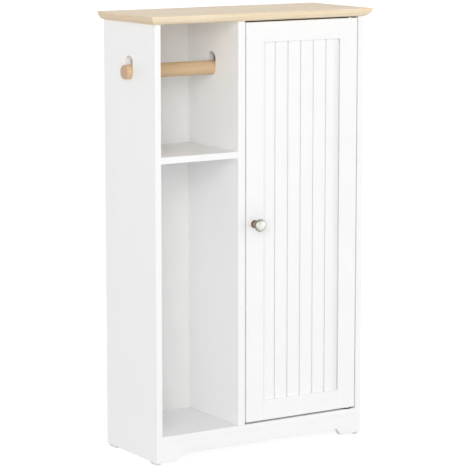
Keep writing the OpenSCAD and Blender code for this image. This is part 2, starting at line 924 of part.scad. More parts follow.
// L bracket under the top board, for one screw into the wall
module wall_bracket() {
    color("silver") difference() {
        union() {
            block(
                [bracket_x - bracket_w / 2, back_y - bracket_reach, side_top - bracket_t],
                [bracket_x + bracket_w / 2, bracket_rear_y, side_top]
            );
            block(
                [bracket_x - bracket_w / 2, bracket_rear_y - bracket_t, side_top - bracket_leg_h],
                [bracket_x + bracket_w / 2, bracket_rear_y, side_top]
            );
        }
        at_bracket_hole() rod_between(bracket_hole_d, -bracket_t - past, past);
        at_bracket_screws() countersunk_hole(bracket_screw);
    }
}

module wall_bracket_screws() {
    color("silver") at_bracket_screws() countersunk_screw(bracket_screw);
}

// The space that the door panel takes in the frame: its reach into the grooves, and play on each face
module panel_space(reach, play) {
    block(
        [opening_left - reach, panel_y - play, opening_low - reach],
        [opening_right + reach, panel_y + panel_t + play, opening_top + reach]
    );
}

// Dowel places at the four corners of the door: +Z points out into the stiles
module at_door_dowels() {
    for (side = [0, 1], z = door_corner_z, shift = [-door_dowel_spread, door_dowel_spread]) {
        translate([door_corner_x[side], pivot_y, z + shift]) rotate([0, side == 0 ? -90 : 90, 0]) children();
    }
}

module door_dowel_cuts() {
    at_door_dowels() rod_between(
        dowel_d + 2 * fit, -dowel_in_edge - hole_spare, door_dowel_in_stile + hole_spare
    );
}

// Places for the knob and its screw: the door's face is the plane z = 0 and the knob points to +Z
module at_knob() {
    translate([knob_x, front_y, knob_z]) rotate([90, 0, 0]) children();
}

// Door stile on the knob side
module knob_stile() {
    color("white") difference() {
        block([door_left, front_y, door_low], [opening_left, front_y + door_t, door_top]);
        panel_space(panel_groove, groove_fit);
        door_dowel_cuts();
        at_knob() rod_between(knob_bolt[0] + 2 * fit, -door_t - past, past);
        at_strike_screws() countersunk_hole(strike_screw);
    }
}

// Door stile on the hinge side, bored for the pivot pins
module hinge_stile() {
    depth = pivot_pin_depth + hole_spare;
    color("white") difference() {
        block([opening_right, front_y, door_low], [door_right, front_y + door_t, door_top]);
        panel_space(panel_groove, groove_fit);
        door_dowel_cuts();
        translate([pivot_x, pivot_y, door_top]) rod_between(pivot_pin_d + 2 * fit, -depth, past);
        translate([pivot_x, pivot_y, door_low]) rod_between(pivot_pin_d + 2 * fit, -past, depth);
    }
}

// Upper rail of the door
module door_top_rail() {
    color("white") difference() {
        block([opening_left, front_y, opening_top], [opening_right, front_y + door_t, door_top]);
        panel_space(panel_groove, groove_fit);
        door_dowel_cuts();
    }
}

// Lower rail of the door
module door_bottom_rail() {
    color("white") difference() {
        block([opening_left, front_y, door_low], [opening_right, front_y + door_t, opening_low]);
        panel_space(panel_groove, groove_fit);
        door_dowel_cuts();
    }
}

// Planked door panel: one board with V grooves cut in its face
module door_panel() {
    color("white") difference() {
        panel_space(panel_tongue, 0);
        for (i = [1:planks - 1]) {
            translate([opening_left + i * plank_pitch, panel_y, 0]) linear_extrude(total_h) polygon([
                [-plank_groove_w / 2, 0], [-plank_groove_w / 2, -past], [plank_groove_w / 2, -past],
                [plank_groove_w / 2, 0], [0, plank_groove_d]
            ]);
        }
    }
}

// Dowels at the corners of the door frame
module door_dowels() {
    color("tan") at_door_dowels() dowel(dowel_in_edge, door_dowel_in_stile);
}

// Turned knob: foot, neck and a rounded head, bored for its screw from behind
module door_knob() {
    head_r = knob_d / 2;
    head_low = knob_reach - knob_head_t;
    foot_r = knob_foot_d / 2;
    neck_r = knob_neck_d / 2;
    color("silver") at_knob() difference() {
        rotate_extrude() polygon(concat(
            [
                [0, 0], [foot_r, 0], [foot_r, knob_foot_t / 2], [foot_r - knob_foot_bevel, knob_foot_t],
                [neck_r + knob_neck_flare, knob_foot_t], [neck_r, knob_foot_t + knob_neck_flare_h],
                [neck_r, head_low]
            ],
            [for (i = [1:knob_head_steps]) let (a = 180 * i / knob_head_steps) [
                max(a < 90 ? neck_r : 0, head_r * pow(sin(a), knob_head_fullness)),
                head_low + knob_head_t * (1 - cos(a)) / 2
            ]]
        ));
        rod_between(knob_bolt[0] + 2 * fit, -past, knob_bore_l);
    }
}

// Screw from the back of the door into the knob
module knob_screw() {
    color("silver") at_knob() translate([0, 0, -door_t]) rotate([180, 0, 0]) pan_screw(knob_bolt);
}

// Plain wooden rod, laid through the slots of the left side panel and the divider
module roll_rod() {
    r = rod_d / 2;
    color("peru") translate([rod_left, slot_y, rod_z]) rotate([0, 90, 0]) rotate_extrude($fn = 96) polygon([
        [0, 0], [r - rod_bevel, 0], [r, rod_bevel], [r, rod_right - rod_left - rod_bevel],
        [r - rod_bevel, rod_right - rod_left], [0, rod_right - rod_left]
    ]);
}

top_board();
left_side_panel();
right_side_panel();
divider_panel();
floor_board();
front_plinth();
back_panel();
bay_shelf();
lower_loose_shelf();
upper_loose_shelf();
shelf_pins();
cam_locks();
cam_bolts();
carcass_dowels();
divider_screws();
back_panel_screws();
floor_glides();
glide_nails();
upper_pivot_bush();
lower_pivot_bush();
catch_housing();
catch_magnet();
catch_screws();
wall_bracket();
wall_bracket_screws();
knob_stile();
hinge_stile();
door_top_rail();
door_bottom_rail();
door_panel();
door_dowels();
door_knob();
knob_screw();
upper_pivot_pin();
lower_pivot_pin();
strike_plate();
strike_screws();
roll_rod();
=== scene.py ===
"""Dresses a narrow bathroom cabinet in its real finishes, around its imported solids.

The solids give every place and size. Boards become merged copies with eased and lacquered edges, the
moulded top, the planked door panel, the knob and the rod get finer meshes, and small hardware is set
out by Geometry Nodes at the places of its solids. Lengths are in metres unless a name ends in _mm.
"""
import logging
import math
from collections.abc import Callable, Iterable, Sequence
from dataclasses import dataclass
from enum import Enum
from functools import cache
from typing import Any

import bmesh
import bpy
from mathutils import Matrix, Vector


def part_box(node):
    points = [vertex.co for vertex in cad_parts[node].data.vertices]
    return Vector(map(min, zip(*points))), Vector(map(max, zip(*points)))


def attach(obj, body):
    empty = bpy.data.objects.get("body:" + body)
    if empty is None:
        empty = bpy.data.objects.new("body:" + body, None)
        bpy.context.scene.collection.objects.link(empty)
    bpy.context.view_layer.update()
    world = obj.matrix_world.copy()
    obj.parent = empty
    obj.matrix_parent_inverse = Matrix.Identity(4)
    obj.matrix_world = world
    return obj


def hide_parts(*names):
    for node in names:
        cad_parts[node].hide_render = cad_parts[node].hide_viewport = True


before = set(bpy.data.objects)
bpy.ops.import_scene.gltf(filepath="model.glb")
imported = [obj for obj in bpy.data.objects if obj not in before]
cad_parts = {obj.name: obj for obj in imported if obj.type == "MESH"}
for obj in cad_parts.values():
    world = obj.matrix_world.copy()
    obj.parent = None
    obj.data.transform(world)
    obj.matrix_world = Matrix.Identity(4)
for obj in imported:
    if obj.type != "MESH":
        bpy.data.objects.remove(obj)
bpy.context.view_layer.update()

Socket = bpy.types.NodeSocket
Mesh = bpy.types.Mesh
Piece = bpy.types.Object
Work = bmesh.types.BMesh
Edge = bmesh.types.BMEdge
EdgeTest = Callable[[Edge], bool]
Outline = list[tuple[float, float]]
Triple = tuple[float, float, float]
Values = dict[Any, Any]

LOG = logging.getLogger("cabinet")
GROOVE_DEPTH = "groove_depth"
AIM = "aim"
MM = 0.001
MERGE_GAP = 0.002 * MM
TOUCH = 0.01 * MM
FLAT_ANGLE = math.radians(0.5)
SMOOTH_ANGLE = math.radians(38.0)
LEVEL_ANGLE = math.radians(2.0)
# A face looks one way when this much of its normal lies along it
SAME_WAY = 0.9
# It is level when this much does, and an end when this much lies along X
LEVEL_SHARE = 0.999
END_SHARE = 0.5
# A point nearer to the lathe's axis than this is on it
ON_AXIS = 1e-7
# Edges of a fitting that are longer than this are eased
LONG_EDGE = 4.0 * MM
# A wave texture at scale 1 repeats after this length
WAVE_PERIOD = 0.314
WHITE = (1.0, 1.0, 1.0, 1.0)


class Body(Enum):
    """The moving bodies of the cabinet."""

    CARCASS = "carcass"
    DOOR = "door"
    ROD = "rod"


def linear(tone: str) -> tuple[float, float, float, float]:
    """Turns a colour as it is seen into the linear values that a shader works in.

    Args:
        tone: The sRGB colour, written as a hex value.

    Returns:
        Red, green, blue and full opacity, linear.
    """
    parts = [int(tone[i:i + 2], 16) / 255.0 for i in (1, 3, 5)]
    red, green, blue = [c / 12.92 if c <= 0.04045 else ((c + 0.055) / 1.055) ** 2.4 for c in parts]
    return red, green, blue, 1.0


class Graph:
    """A node tree that is being built."""

    def __init__(self, tree: bpy.types.NodeTree) -> None:
        """Starts on a tree."""
        self.tree = tree

    @classmethod
    def of(cls, owner: bpy.types.Material | bpy.types.World) -> "Graph":
        """Starts on the emptied tree of a material or a world."""
        owner.use_nodes = True
        owner.node_tree.nodes.clear()
        return cls(owner.node_tree)

    def feed(self, node: bpy.types.Node, name: str | int, value: Any) -> None:
        """Gives an input of a node its value, or links it to a socket."""
        if isinstance(value, Socket):
            self.tree.links.new(value, node.inputs[name])
        else:
            node.inputs[name].default_value = value

    def node(self, kind: str, inputs: Values | None = None, **settings: Any) -> bpy.types.Node:
        """Adds a node.

        Args:
            kind: Blender's name for the type of node.
            inputs: A value, or the socket to link from, for each input by its name or number.
            **settings: Properties of the node itself.

        Returns:
            The new node.
        """
        node = self.tree.nodes.new(kind)
        for name, value in settings.items():
            setattr(node, name, value)
        for name, value in (inputs or {}).items():
            self.feed(node, name, value)
        return node

    def out(self, kind: str, inputs: Values | None = None, take: str | int = 0, **settings: Any) -> Socket:
        """Adds a node as node() does, and returns its output of the given name or number."""
        return self.node(kind, inputs, **settings).outputs[take]

    def math(self, operation: str, *values: Any) -> Socket:
        """Adds one sum and returns its result."""
        return self.out("ShaderNodeMath", dict(enumerate(values)), operation=operation)


@dataclass(frozen=True)
class Grain:
    """A noise pattern, by the size of its features.

    Attributes:
        size_mm: Length of one feature along each axis of the pattern's coordinates.
        detail: How many finer layers it has.
        distortion: How far it is pulled about.
    """

    size_mm: Triple
    detail: float = 2.0
    distortion: float = 0.0


class Painter(Graph):
    """The node tree of a material, with its surface shader.

    Attributes:
        place: The shaded point in the frame's coordinates.
        along: The shaded point in the piece's UV metres.
    """

    def __init__(self, tree: bpy.types.NodeTree) -> None:
        """Puts the surface shader in."""
        super().__init__(tree)
        coords = self.node("ShaderNodeTexCoord").outputs
        self.place, self.along = coords["Object"], coords["UV"]
        self.shader = self.node("ShaderNodeBsdfPrincipled")
        self.node("ShaderNodeOutputMaterial", {"Surface": self.shader.outputs[0]})

    def noise(self, grain: Grain, at: Socket | None = None) -> Socket:
        """Adds a noise pattern.

        Args:
            grain: The pattern.
            at: Its coordinates, where they aren't the frame's.

        Returns:
            The pattern's factor.
        """
        scale = tuple(1.0 / (size * MM) for size in grain.size_mm)
        vector = self.place if at is None else at
        placed = self.out("ShaderNodeMapping", {"Vector": vector, "Scale": scale})
        return self.out("ShaderNodeTexNoise", {
            "Vector": placed, "Scale": 1.0, "Detail": grain.detail, "Distortion": grain.distortion,
        }, "Fac")

    def wave(self, at: Socket, length_mm: float, inputs: Values, **settings: Any) -> Socket:
        """Adds a wave pattern.

        Args:
            at: Its coordinates.
            length_mm: Length of one wave.
            inputs: Further values of the texture.
            **settings: Its kind and direction.

        Returns:
            The pattern's factor.
        """
        given = {"Vector": at, "Scale": WAVE_PERIOD / (length_mm * MM), **inputs}
        return self.out("ShaderNodeTexWave", given, "Fac", **settings)

    def shifted(self, origin: Triple) -> Socket:
        """Returns the shaded point as it lies from another origin."""
        shift = tuple(-c for c in origin)
        return self.out("ShaderNodeMapping", {"Vector": self.place, "Location": shift})

    def ramp(self, factor: Socket, *stops: tuple[float, str]) -> Socket:
        """Adds a colour ramp.

        Args:
            factor: The socket that drives it.
            *stops: Each stop's place and its sRGB tone.

        Returns:
            The ramp's colour.
        """
        node = self.node("ShaderNodeValToRGB", {"Fac": factor})
        elements = node.color_ramp.elements
        while len(elements) < len(stops):
            elements.new(1.0)
        for element, (place, tone) in zip(elements, stops):
            element.position = place
            element.color = linear(tone)
        return node.outputs["Color"]

    def mix(self, factor: Socket | float, under: Socket, over: Socket | str) -> Socket:
        """Mixes two colours.

        Args:
            factor: How much of the upper colour shows.
            under: The lower colour.
            over: The upper colour, or its sRGB tone.

        Returns:
            The mixed colour.
        """
        upper = linear(over) if isinstance(over, str) else over
        return self.out("ShaderNodeMix", {0: factor, 6: under, 7: upper}, 2, data_type="RGBA")

    def spread(
        self, factor: Socket, low: float, high: float, start: float = 0.25, end: float = 0.75
    ) -> Socket:
        """Spreads a stretch of a pattern over a range of values.

        Args:
            factor: The pattern.
            low: The value at the stretch's start.
            high: The value at its end.
            start: Where the stretch starts.
            end: Where it ends.

        Returns:
            The values.
        """
        return self.out("ShaderNodeMapRange", {
            "Value": factor, "From Min": start, "From Max": end, "To Min": low, "To Max": high,
        })

    def cover(
        self, tone: Socket, roughness: Socket | float, height: Socket, depth_mm: float, **more: float
    ) -> None:
        """Fills in the surface shader.

        Args:
            tone: The colour.
            roughness: The roughness.
            height: The pattern that raises the surface.
            depth_mm: How deep that pattern goes.
            **more: Further values, with an underscore for each space in their names.
        """
        bump = self.out("ShaderNodeBump", {"Height": height, "Distance": depth_mm * MM, "Strength": 1.0})
        given = {"Base_Color": tone, "Roughness": roughness, "Normal": bump, **more}
        for name, value in given.items():
            self.feed(self.shader, name.replace("_", " "), value)


@dataclass(frozen=True)
class Finish:
    """What all finishes share.

    Attributes:
        title: The material's name.
        slot: The record's material slot that the finish stands for. It is not used here.
    """

    title: str
    slot: str

    def material(self) -> bpy.types.Material:
        """Returns the material, made on its first use."""
        made = bpy.data.materials.get(self.title)
        if made is None:
            made = bpy.data.materials.new(self.title)
            self.paint(Painter.of(made))
        return made

    def paint(self, painter: Painter) -> None:
        """Fills in the material's tree; each finish has its own way."""
        raise NotImplementedError


@dataclass(frozen=True)
class SprayedLacquer(Finish):
    """Satin white lacquer, sprayed on fibreboard.

    The eye gets an even, slightly warm white with a soft sheen. Sanding and spraying leave a faint
    mottle. The orange peel is finer than a pixel on the real board, so it is drawn 4 mm wide.
    """

    tone: str = "#F9F9F9"
    mottle_tone: str = "#F7F7F7"
    roughness: tuple[float, float] = (0.36, 0.48)
    mottle: Grain = Grain((60.0, 60.0, 90.0), 3.0, 0.4)
    peel: Grain = Grain((4.0, 4.0, 4.0), 1.0)
    peel_depth_mm: float = 0.012
    ior: float = 1.48

    def paint(self, painter: Painter) -> None:
        """Mixes the lacquer.

        Args:
            painter: The material's tree.
        """
        mottle = painter.noise(self.mottle)
        tone = self.add_groove_shade(painter, painter.ramp(mottle, (0.3, self.mottle_tone), (0.7, self.tone)))
        rough = painter.spread(mottle, *self.roughness)
        painter.cover(tone, rough, painter.noise(self.peel), self.peel_depth_mm, IOR=self.ior)

    def add_groove_shade(self, painter: Painter, tone: Socket) -> Socket:
        """Leaves the tone as it is, where a board has no grooves."""
        return tone


@dataclass(frozen=True)
class GroovedLacquer(SprayedLacquer):
    """The same lacquer on the planked panel, with painted shade down in its V grooves.

    The eye gets the fine grey lines between the planks. The panel's own mesh says how deep a point lies.
    """

    # Painted shade in the grooves, mixed in by their depth
    groove_shade_tone: str = "#D0D0CD"

    def add_groove_shade(self, painter: Painter, tone: Socket) -> Socket:
        """Mixes in painted shade in the grooves, by their depth."""
        depth = painter.out("ShaderNodeAttribute", None, "Fac", attribute_name=GROOVE_DEPTH)
        return painter.mix(depth, tone, self.groove_shade_tone)


@dataclass(frozen=True)
class BeechFoil(Finish):
    """Light beech-effect finish on the moulded top, its grain along each face's U.

    The eye gets pale straw planks of soft cathedral figure, thin long streaks and short darker flecks,
    which are rays. Rays are half as wide on real beech; they are drawn wider, to show at all.
    """

    light_tone: str = "#F9EACF"
    mid_tone: str = "#F1DEBD"
    dark_tone: str = "#DEC195"
    blush_tone: str = "#F9D3A9"
    ray_tone: str = "#C7A174"
    figure: Grain = Grain((260.0, 16.0, 1000.0), 3.0, 1.1)
    streaks: Grain = Grain((150.0, 2.6, 1000.0), 3.0, 0.3)
    blush: Grain = Grain((55.0, 9.0, 1000.0), 2.0, 0.5)
    rays: Grain = Grain((7.0, 1.1, 1000.0), 1.0)
    blush_share: tuple[float, float] = (-0.5, 0.45)
    ray_share: tuple[float, float] = (0.0, 0.32)
    ray_stretch: tuple[float, float] = (0.62, 0.74)
    roughness: tuple[float, float] = (0.5, 0.4)
    depth_mm: float = 0.03

    def paint(self, painter: Painter) -> None:
        """Mixes the beech effect.

        Args:
            painter: The material's tree.
        """
        patterns = (self.figure, self.streaks, self.blush, self.rays)
        figure, streaks, blush, rays = [painter.noise(grain, painter.along) for grain in patterns]
        dark, mid, light = self.dark_tone, self.mid_tone, self.light_tone
        body = painter.ramp(figure, (0.28, dark), (0.44, mid), (0.58, light), (0.75, mid))
        lines = painter.ramp(streaks, (0.3, dark), (0.46, mid), (0.7, light))
        wood = painter.mix(0.5, body, lines)
        wood = painter.mix(painter.spread(blush, *self.blush_share), wood, self.blush_tone)
        flecks = painter.spread(rays, *self.ray_share, *self.ray_stretch)
        wood = painter.mix(flecks, wood, self.ray_tone)
        painter.cover(wood, painter.spread(streaks, *self.roughness), streaks, self.depth_mm)


@dataclass(frozen=True)
class TurnedBeech(Finish):
    """Solid beech, turned and left bare.

    Its year rings run round a pith beside the piece, so that the eye gets arcs on its ends and long
    lines on its sides.

    Attributes:
        centre: A point on the piece's own axis.
        pith_mm: How far the tree's heart lies from that axis, along Y and Z.
        ring_mm: Width of one year ring, drawn as coarse as it needs to show.
    """

    centre: Triple = (0.0, 0.0, 0.0)
    pith_mm: tuple[float, float] = (19.0, -23.0)
    ring_mm: float = 3.4
    early_tone: str = "#DDBF98"
    late_tone: str = "#C39C70"
    pore_tone: str = "#A07A50"
    wander: Grain = Grain((220.0, 30.0, 30.0), 2.0)
    pores: Grain = Grain((9.0, 0.7, 0.7), 1.0)
    pore_share: tuple[float, float] = (0.0, 0.4)
    pore_stretch: tuple[float, float] = (0.6, 0.75)
    roughness: tuple[float, float] = (0.48, 0.6)
    depth_mm: float = 0.02

    def paint(self, painter: Painter) -> None:
        """Mixes the beech.

        Args:
            painter: The material's tree.
        """
        heart = tuple(c - p * MM for c, p in zip(self.centre, (0.0, *self.pith_mm)))
        wander = painter.noise(self.wander)
        rings = painter.wave(painter.shifted(heart), self.ring_mm, {
            "Distortion": 1.1, "Detail": 2.0, "Detail Scale": 0.6, "Detail Roughness": 0.55,
            "Phase Offset": painter.spread(wander, 0.0, 2.5),
        }, wave_type="RINGS", rings_direction="X", wave_profile="SAW")
        early, late = self.early_tone, self.late_tone
        tone = painter.ramp(rings, (0.0, early), (0.7, early), (0.93, late), (1.0, early))
        pores = painter.spread(painter.noise(self.pores), *self.pore_share, *self.pore_stretch)
        tone = painter.mix(pores, tone, self.pore_tone)
        painter.cover(tone, painter.spread(wander, *self.roughness), rings, self.depth_mm)


@dataclass(frozen=True)
class MetalSkin(Finish):
    """A bare or plated metal: its tone shifts a little and its roughness follows how it was made.

    Attributes:
        tone: The metal's colour.
        shift_tone: The colour that its plating drifts towards.
        roughness: Its least and greatest roughness.
        marks: The pattern that the making left.
        depth_mm: How deep those marks are.
    """

    tone: str = "#C9CCCF"
    shift_tone: str = "#C4C8C9"
    roughness: tuple[float, float] = (0.24, 0.4)
    marks: Grain = Grain((2.0, 2.0, 2.0), 3.0)
    drift: Grain = Grain((11.0, 11.0, 11.0), 2.0)
    depth_mm: float = 0.01

    def paint(self, painter: Painter) -> None:
        """Mixes the metal.

        Args:
            painter: The material's tree.
        """
        marks = painter.noise(self.marks)
        tone = painter.ramp(painter.noise(self.drift), (0.35, self.tone), (0.65, self.shift_tone))
        painter.cover(tone, painter.spread(marks, *self.roughness), marks, self.depth_mm, Metallic=1.0)


@dataclass(frozen=True)
class BrushedNickel(Finish):
    """Nickel plate on a turned zinc knob, brushed round its axis, with reflections and shade painted on.

    The foot and the neck get painted dark reflections, and the back of the head gets painted shade that
    dims the lamp's highlight, set by the distance from the door.
    The eye gets a soft pearly grey head with fine rings, on a brown neck and a nearly black foot. Real
    brushing is about
    0.05 mm wide; the rings are drawn 0.5 mm wide, to show at all.

    Attributes:
        centre: The middle of the knob's foot, on the face of the door.
        reach: How far the knob stands out of the door.
        painted_reflection_tones: Places along the reach, as shares of it, and the tone at each: the painted
            reflections and shade.
        ring_mm: Width of one brushed ring.
    """

    centre: Triple = (0.0, 0.0, 0.0)
    reach: float = 0.025
    # Painted dark reflections on the foot and neck, and painted shade on the back of the head
    painted_reflection_tones: tuple[tuple[float, str], ...] = (
        (0.0, "#544D46"), (0.1, "#665D54"), (0.2, "#AD9A8F"), (0.5, "#C2B1A6"), (0.62, "#7E786E"),
        (0.82, "#817D74"), (0.9, "#9B9990"), (0.95, "#C3C2BA"), (1.0, "#DEDED8"),
    )
    ring_mm: float = 0.5
    roughness: tuple[float, float] = (0.4, 0.52)
    depth_mm: float = 0.004

    def paint(self, painter: Painter) -> None:
        """Mixes the plated metal.

        Args:
            painter: The material's tree.
        """
        place = painter.shifted(self.centre)
        rings = painter.wave(place, self.ring_mm, {
            "Distortion": 2.0, "Detail": 3.0, "Detail Scale": 2.0,
        }, wave_type="RINGS", rings_direction="Y")
        out = painter.out("ShaderNodeSeparateXYZ", {"Vector": place}, "Y")
        # Painted reflections and shade, by the distance out from the door
        tone = painter.ramp(painter.spread(out, 0.0, 1.0, 0.0, -self.reach), *self.painted_reflection_tones)
        painter.cover(tone, painter.spread(rings, *self.roughness), rings, self.depth_mm, Metallic=1.0)


@dataclass(frozen=True)
class MouldedPlastic(Finish):
    """Injection-moulded plastic: even in colour, a little see-through, with a fine spark-eroded skin.

    Attributes:
        tone: Its colour.
        flow_tone: The colour of the faint flow marks.
        glow: How much light passes under the skin.
        glow_mm: How far that light goes.
    """

    tone: str = "#EDEDE9"
    flow_tone: str = "#E4E4DF"
    roughness: tuple[float, float] = (0.4, 0.52)
    glow: float = 0.12
    glow_mm: float = 1.5
    flow: Grain = Grain((14.0, 9.0, 14.0), 2.0, 0.6)
    skin: Grain = Grain((0.8, 0.8, 0.8), 1.0)
    depth_mm: float = 0.01

    def paint(self, painter: Painter) -> None:
        """Mixes the plastic.

        Args:
            painter: The material's tree.
        """
        flow = painter.noise(self.flow)
        tone = painter.ramp(flow, (0.35, self.flow_tone), (0.65, self.tone))
        painter.cover(
            tone, painter.spread(flow, *self.roughness), painter.noise(self.skin), self.depth_mm,
            Subsurface_Weight=self.glow, Subsurface_Scale=self.glow_mm * MM,
        )


@dataclass(frozen=True)
class BrownHardboard(Finish):
    """The bare rear side of the back panel: pressed brown wood fibre with a screen's print.

    The eye gets a matt brown with short pale and dark fibres. The print is that of the press screen.
    """

    light_tone: str = "#A9865A"
    dark_tone: str = "#A07C51"
    fibre_tone: str = "#C2A277"
    cloud: Grain = Grain((22.0, 22.0, 16.0), 4.0, 0.5)
    fibres: Grain = Grain((6.0, 6.0, 1.4), 3.0, 1.5)
    screen_mm: float = 1.6
    fibre_share: tuple[float, float] = (0.0, 0.5)
    fibre_stretch: tuple[float, float] = (0.55, 0.75)
    roughness: float = 0.85
    depth_mm: float = 0.06

    def paint(self, painter: Painter) -> None:
        """Mixes the hardboard.

        Args:
            painter: The material's tree.
        """
        fibres = painter.noise(self.fibres)
        tone = painter.ramp(painter.noise(self.cloud), (0.3, self.dark_tone), (0.7, self.light_tone))
        strands = painter.spread(fibres, *self.fibre_share, *self.fibre_stretch)
        tone = painter.mix(strands, tone, self.fibre_tone)
        screen = painter.wave(
            painter.place, self.screen_mm, {"Distortion": 0.5}, bands_direction="DIAGONAL"
        )
        height = painter.math("ADD", screen, fibres)
        painter.cover(tone, self.roughness, height, self.depth_mm)


@dataclass(frozen=True)
class GroundFerrite(Finish):
    """Sintered ferrite, ground flat: nearly black, matt and speckled."""

    tone: str = "#3A393A"
    speck_tone: str = "#5B595A"
    specks: Grain = Grain((0.7, 0.7, 0.7), 3.0)
    roughness: tuple[float, float] = (0.7, 0.55)
    depth_mm: float = 0.02

    def paint(self, painter: Painter) -> None:
        """Mixes the ferrite.

        Args:
            painter: The material's tree.
        """
        specks = painter.noise(self.specks)
        tone = painter.ramp(specks, (0.5, self.tone), (0.72, self.speck_tone))
        painter.cover(tone, painter.spread(specks, *self.roughness), specks, self.depth_mm)


@cache
def node_box(node: str) -> tuple[Vector, Vector]:
    """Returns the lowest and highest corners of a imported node."""
    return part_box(node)


def middle(node: str) -> Triple:
    """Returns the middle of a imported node's box."""
    low, high = node_box(node)
    return tuple((low + high) / 2)


def knob_root() -> Triple:
    """Returns the middle of the knob's foot, where it stands on the door."""
    low, high = node_box("door_knob")
    return (low.x + high.x) / 2, high.y, (low.z + high.z) / 2


def knob_reach() -> float:
    """Returns how far the knob stands out of the door."""
    low, high = node_box("door_knob")
    return high.y - low.y


LACQUER = SprayedLacquer("white_lacquered_fibreboard", "white_lacquer")
# The planked panel's lacquer, with painted shade in its grooves
PLANK_LACQUER = GroovedLacquer("white_lacquered_planks_painted_groove_shade", "white_lacquer")
# Painted shade: the stiles' inner faces, in the recess beside the panel, are painted greyer than the other
# faces
RECESS_SHADE_LACQUER = SprayedLacquer(
    "white_lacquer_painted_recess_shade", "white_lacquer", tone="#D2D2D0", mottle_tone="#CDCDCB",
    roughness=(0.5, 0.62),
)
HARDBOARD_FACE = SprayedLacquer(
    "white_faced_hardboard", "hardboard", tone="#F7F7F6", mottle_tone="#F4F4F3", roughness=(0.45, 0.58)
)
HARDBOARD_REAR = BrownHardboard("bare_hardboard", "hardboard")
BEECH_TOP = BeechFoil("light_beech_effect_foil", "beech_effect")
BEECH_ENDS = BeechFoil(
    "beech_effect_end_foil", "beech_effect", light_tone="#EAD6BC", mid_tone="#E0CAAB", dark_tone="#CDAF87",
    blush_tone="#EBC39B", ray_tone="#B8946A",
)
ROD_BEECH = TurnedBeech("turned_beech_rod", "rod_beech", centre=middle("roll_rod"))
ROD_ENDS = TurnedBeech(
    "sawn_beech_end_grain", "rod_beech", centre=middle("roll_rod"),
    early_tone="#CCAB8F", late_tone="#AE8B69", pore_tone="#917253",
)
DOWEL_BEECH = TurnedBeech("ribbed_beech_dowel", "dowel_beech", ring_mm=1.6)
ZINC_STEEL = MetalSkin("bright_zinc_plated_steel", "zinc_steel")
CAST_ZINC = MetalSkin(
    "die_cast_zinc", "cast_zinc", tone="#B9BBBD", shift_tone="#A9ABAD", roughness=(0.42, 0.6),
    marks=Grain((1.2, 1.2, 1.2), 2.0), depth_mm=0.03,
)
# The knob's nickel, with reflections and shade painted on by its distance from the door
NICKEL = BrushedNickel("brushed_nickel_painted_reflections", "brushed_nickel", centre=knob_root(), reach=knob_reach())
GLIDE_PLASTIC = MouldedPlastic(
    "moulded_polyethylene", "glide_plastic", tone="#E8E9E8", flow_tone="#E0E1E0", glow=0.0
)
BUSH_NYLON = MouldedPlastic("moulded_nylon", "bush_nylon", tone="#363638", flow_tone="#2E2E30", glow=0.0)
CATCH_PLASTIC = MouldedPlastic("moulded_abs", "catch_plastic", tone="#F0F0EE", flow_tone="#E9E9E7")
FERRITE = GroundFerrite("ground_ferrite", "ferrite")


def merged_copy(node: str) -> Work:
    """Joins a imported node's loose triangles into clean flat faces.

    Args:
        node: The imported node.

    Returns:
        The merged mesh, in the frame's coordinates.
    """
    made = bmesh.new()
    made.from_mesh(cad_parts[node].data)
    bmesh.ops.remove_doubles(made, verts=made.verts[:], dist=MERGE_GAP)
    bmesh.ops.dissolve_limit(
        made, angle_limit=FLAT_ANGLE, use_dissolve_boundaries=False,
        verts=made.verts[:], edges=made.edges[:], delimit=set(),
    )
    made.normal_update()
    return made


def shade(mesh: Mesh) -> None:
    """Smooths curved walls and keeps corners crisp and large flat faces flat.

    Args:
        mesh: The mesh to shade.
    """
    mesh.set_sharp_from_angle(angle=SMOOTH_ANGLE)
    for face in mesh.polygons:
        face.use_smooth = max(abs(c) for c in face.normal) < math.cos(LEVEL_ANGLE)


def to_mesh(made: Work) -> Mesh:
    """Turns a working mesh into a plain shaded one and frees it."""
    mesh = bpy.data.meshes.new("mesh")
    made.to_mesh(mesh)
    made.free()
    shade(mesh)
    return mesh


def new_object(title: str, data: bpy.types.ID) -> Piece:
    """Puts a new object in the scene and returns it."""
    made = bpy.data.objects.new(title, data)
    bpy.context.scene.collection.objects.link(made)
    return made


def bake(piece: Piece) -> Mesh:
    """Turns what an object's modifiers make into a plain mesh, and removes the object.

    Args:
        piece: The object with its live modifiers.

    Returns:
        The plain mesh.
    """
    bpy.context.view_layer.update()
    ready = piece.evaluated_get(bpy.context.evaluated_depsgraph_get())
    mesh = bpy.data.meshes.new_from_object(ready)
    bpy.data.objects.remove(piece)
    return mesh


def add_piece(
    title: str, mesh: Mesh, finishes: Sequence[Finish], body: Body, stands_for: Sequence[str]
) -> Piece:
    """Puts a finished mesh in the scene, on its body and in place of its solids.

    Args:
        title: The piece's name.
        mesh: The mesh, in the frame's coordinates.
        finishes: The finish of each material index of the mesh.
        body: The body that the piece rides on.
        stands_for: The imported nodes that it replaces.

    Returns:
        The new object.
    """
    mesh.name = title
    chosen = [face.material_index for face in mesh.polygons]
    mesh.materials.clear()
    for finish in finishes:
        mesh.materials.append(finish.material())
    mesh.polygons.foreach_set("material_index", chosen)
    piece = new_object(title, mesh)
    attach(piece, body.value)
    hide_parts(*stands_for)
    LOG.info("%s: %d faces, on %s, for %s", title, len(mesh.polygons), body.value, ", ".join(stands_for))
    return piece


def repaint(node: str, finish: Finish) -> None:
    """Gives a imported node, whose shape is right, its finish.

    Args:
        node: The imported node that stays.
        finish: Its finish.
    """
    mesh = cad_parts[node].data
    mesh.materials.clear()
    mesh.materials.append(finish.material())
    LOG.info("%s: the packed solid, repainted", node)


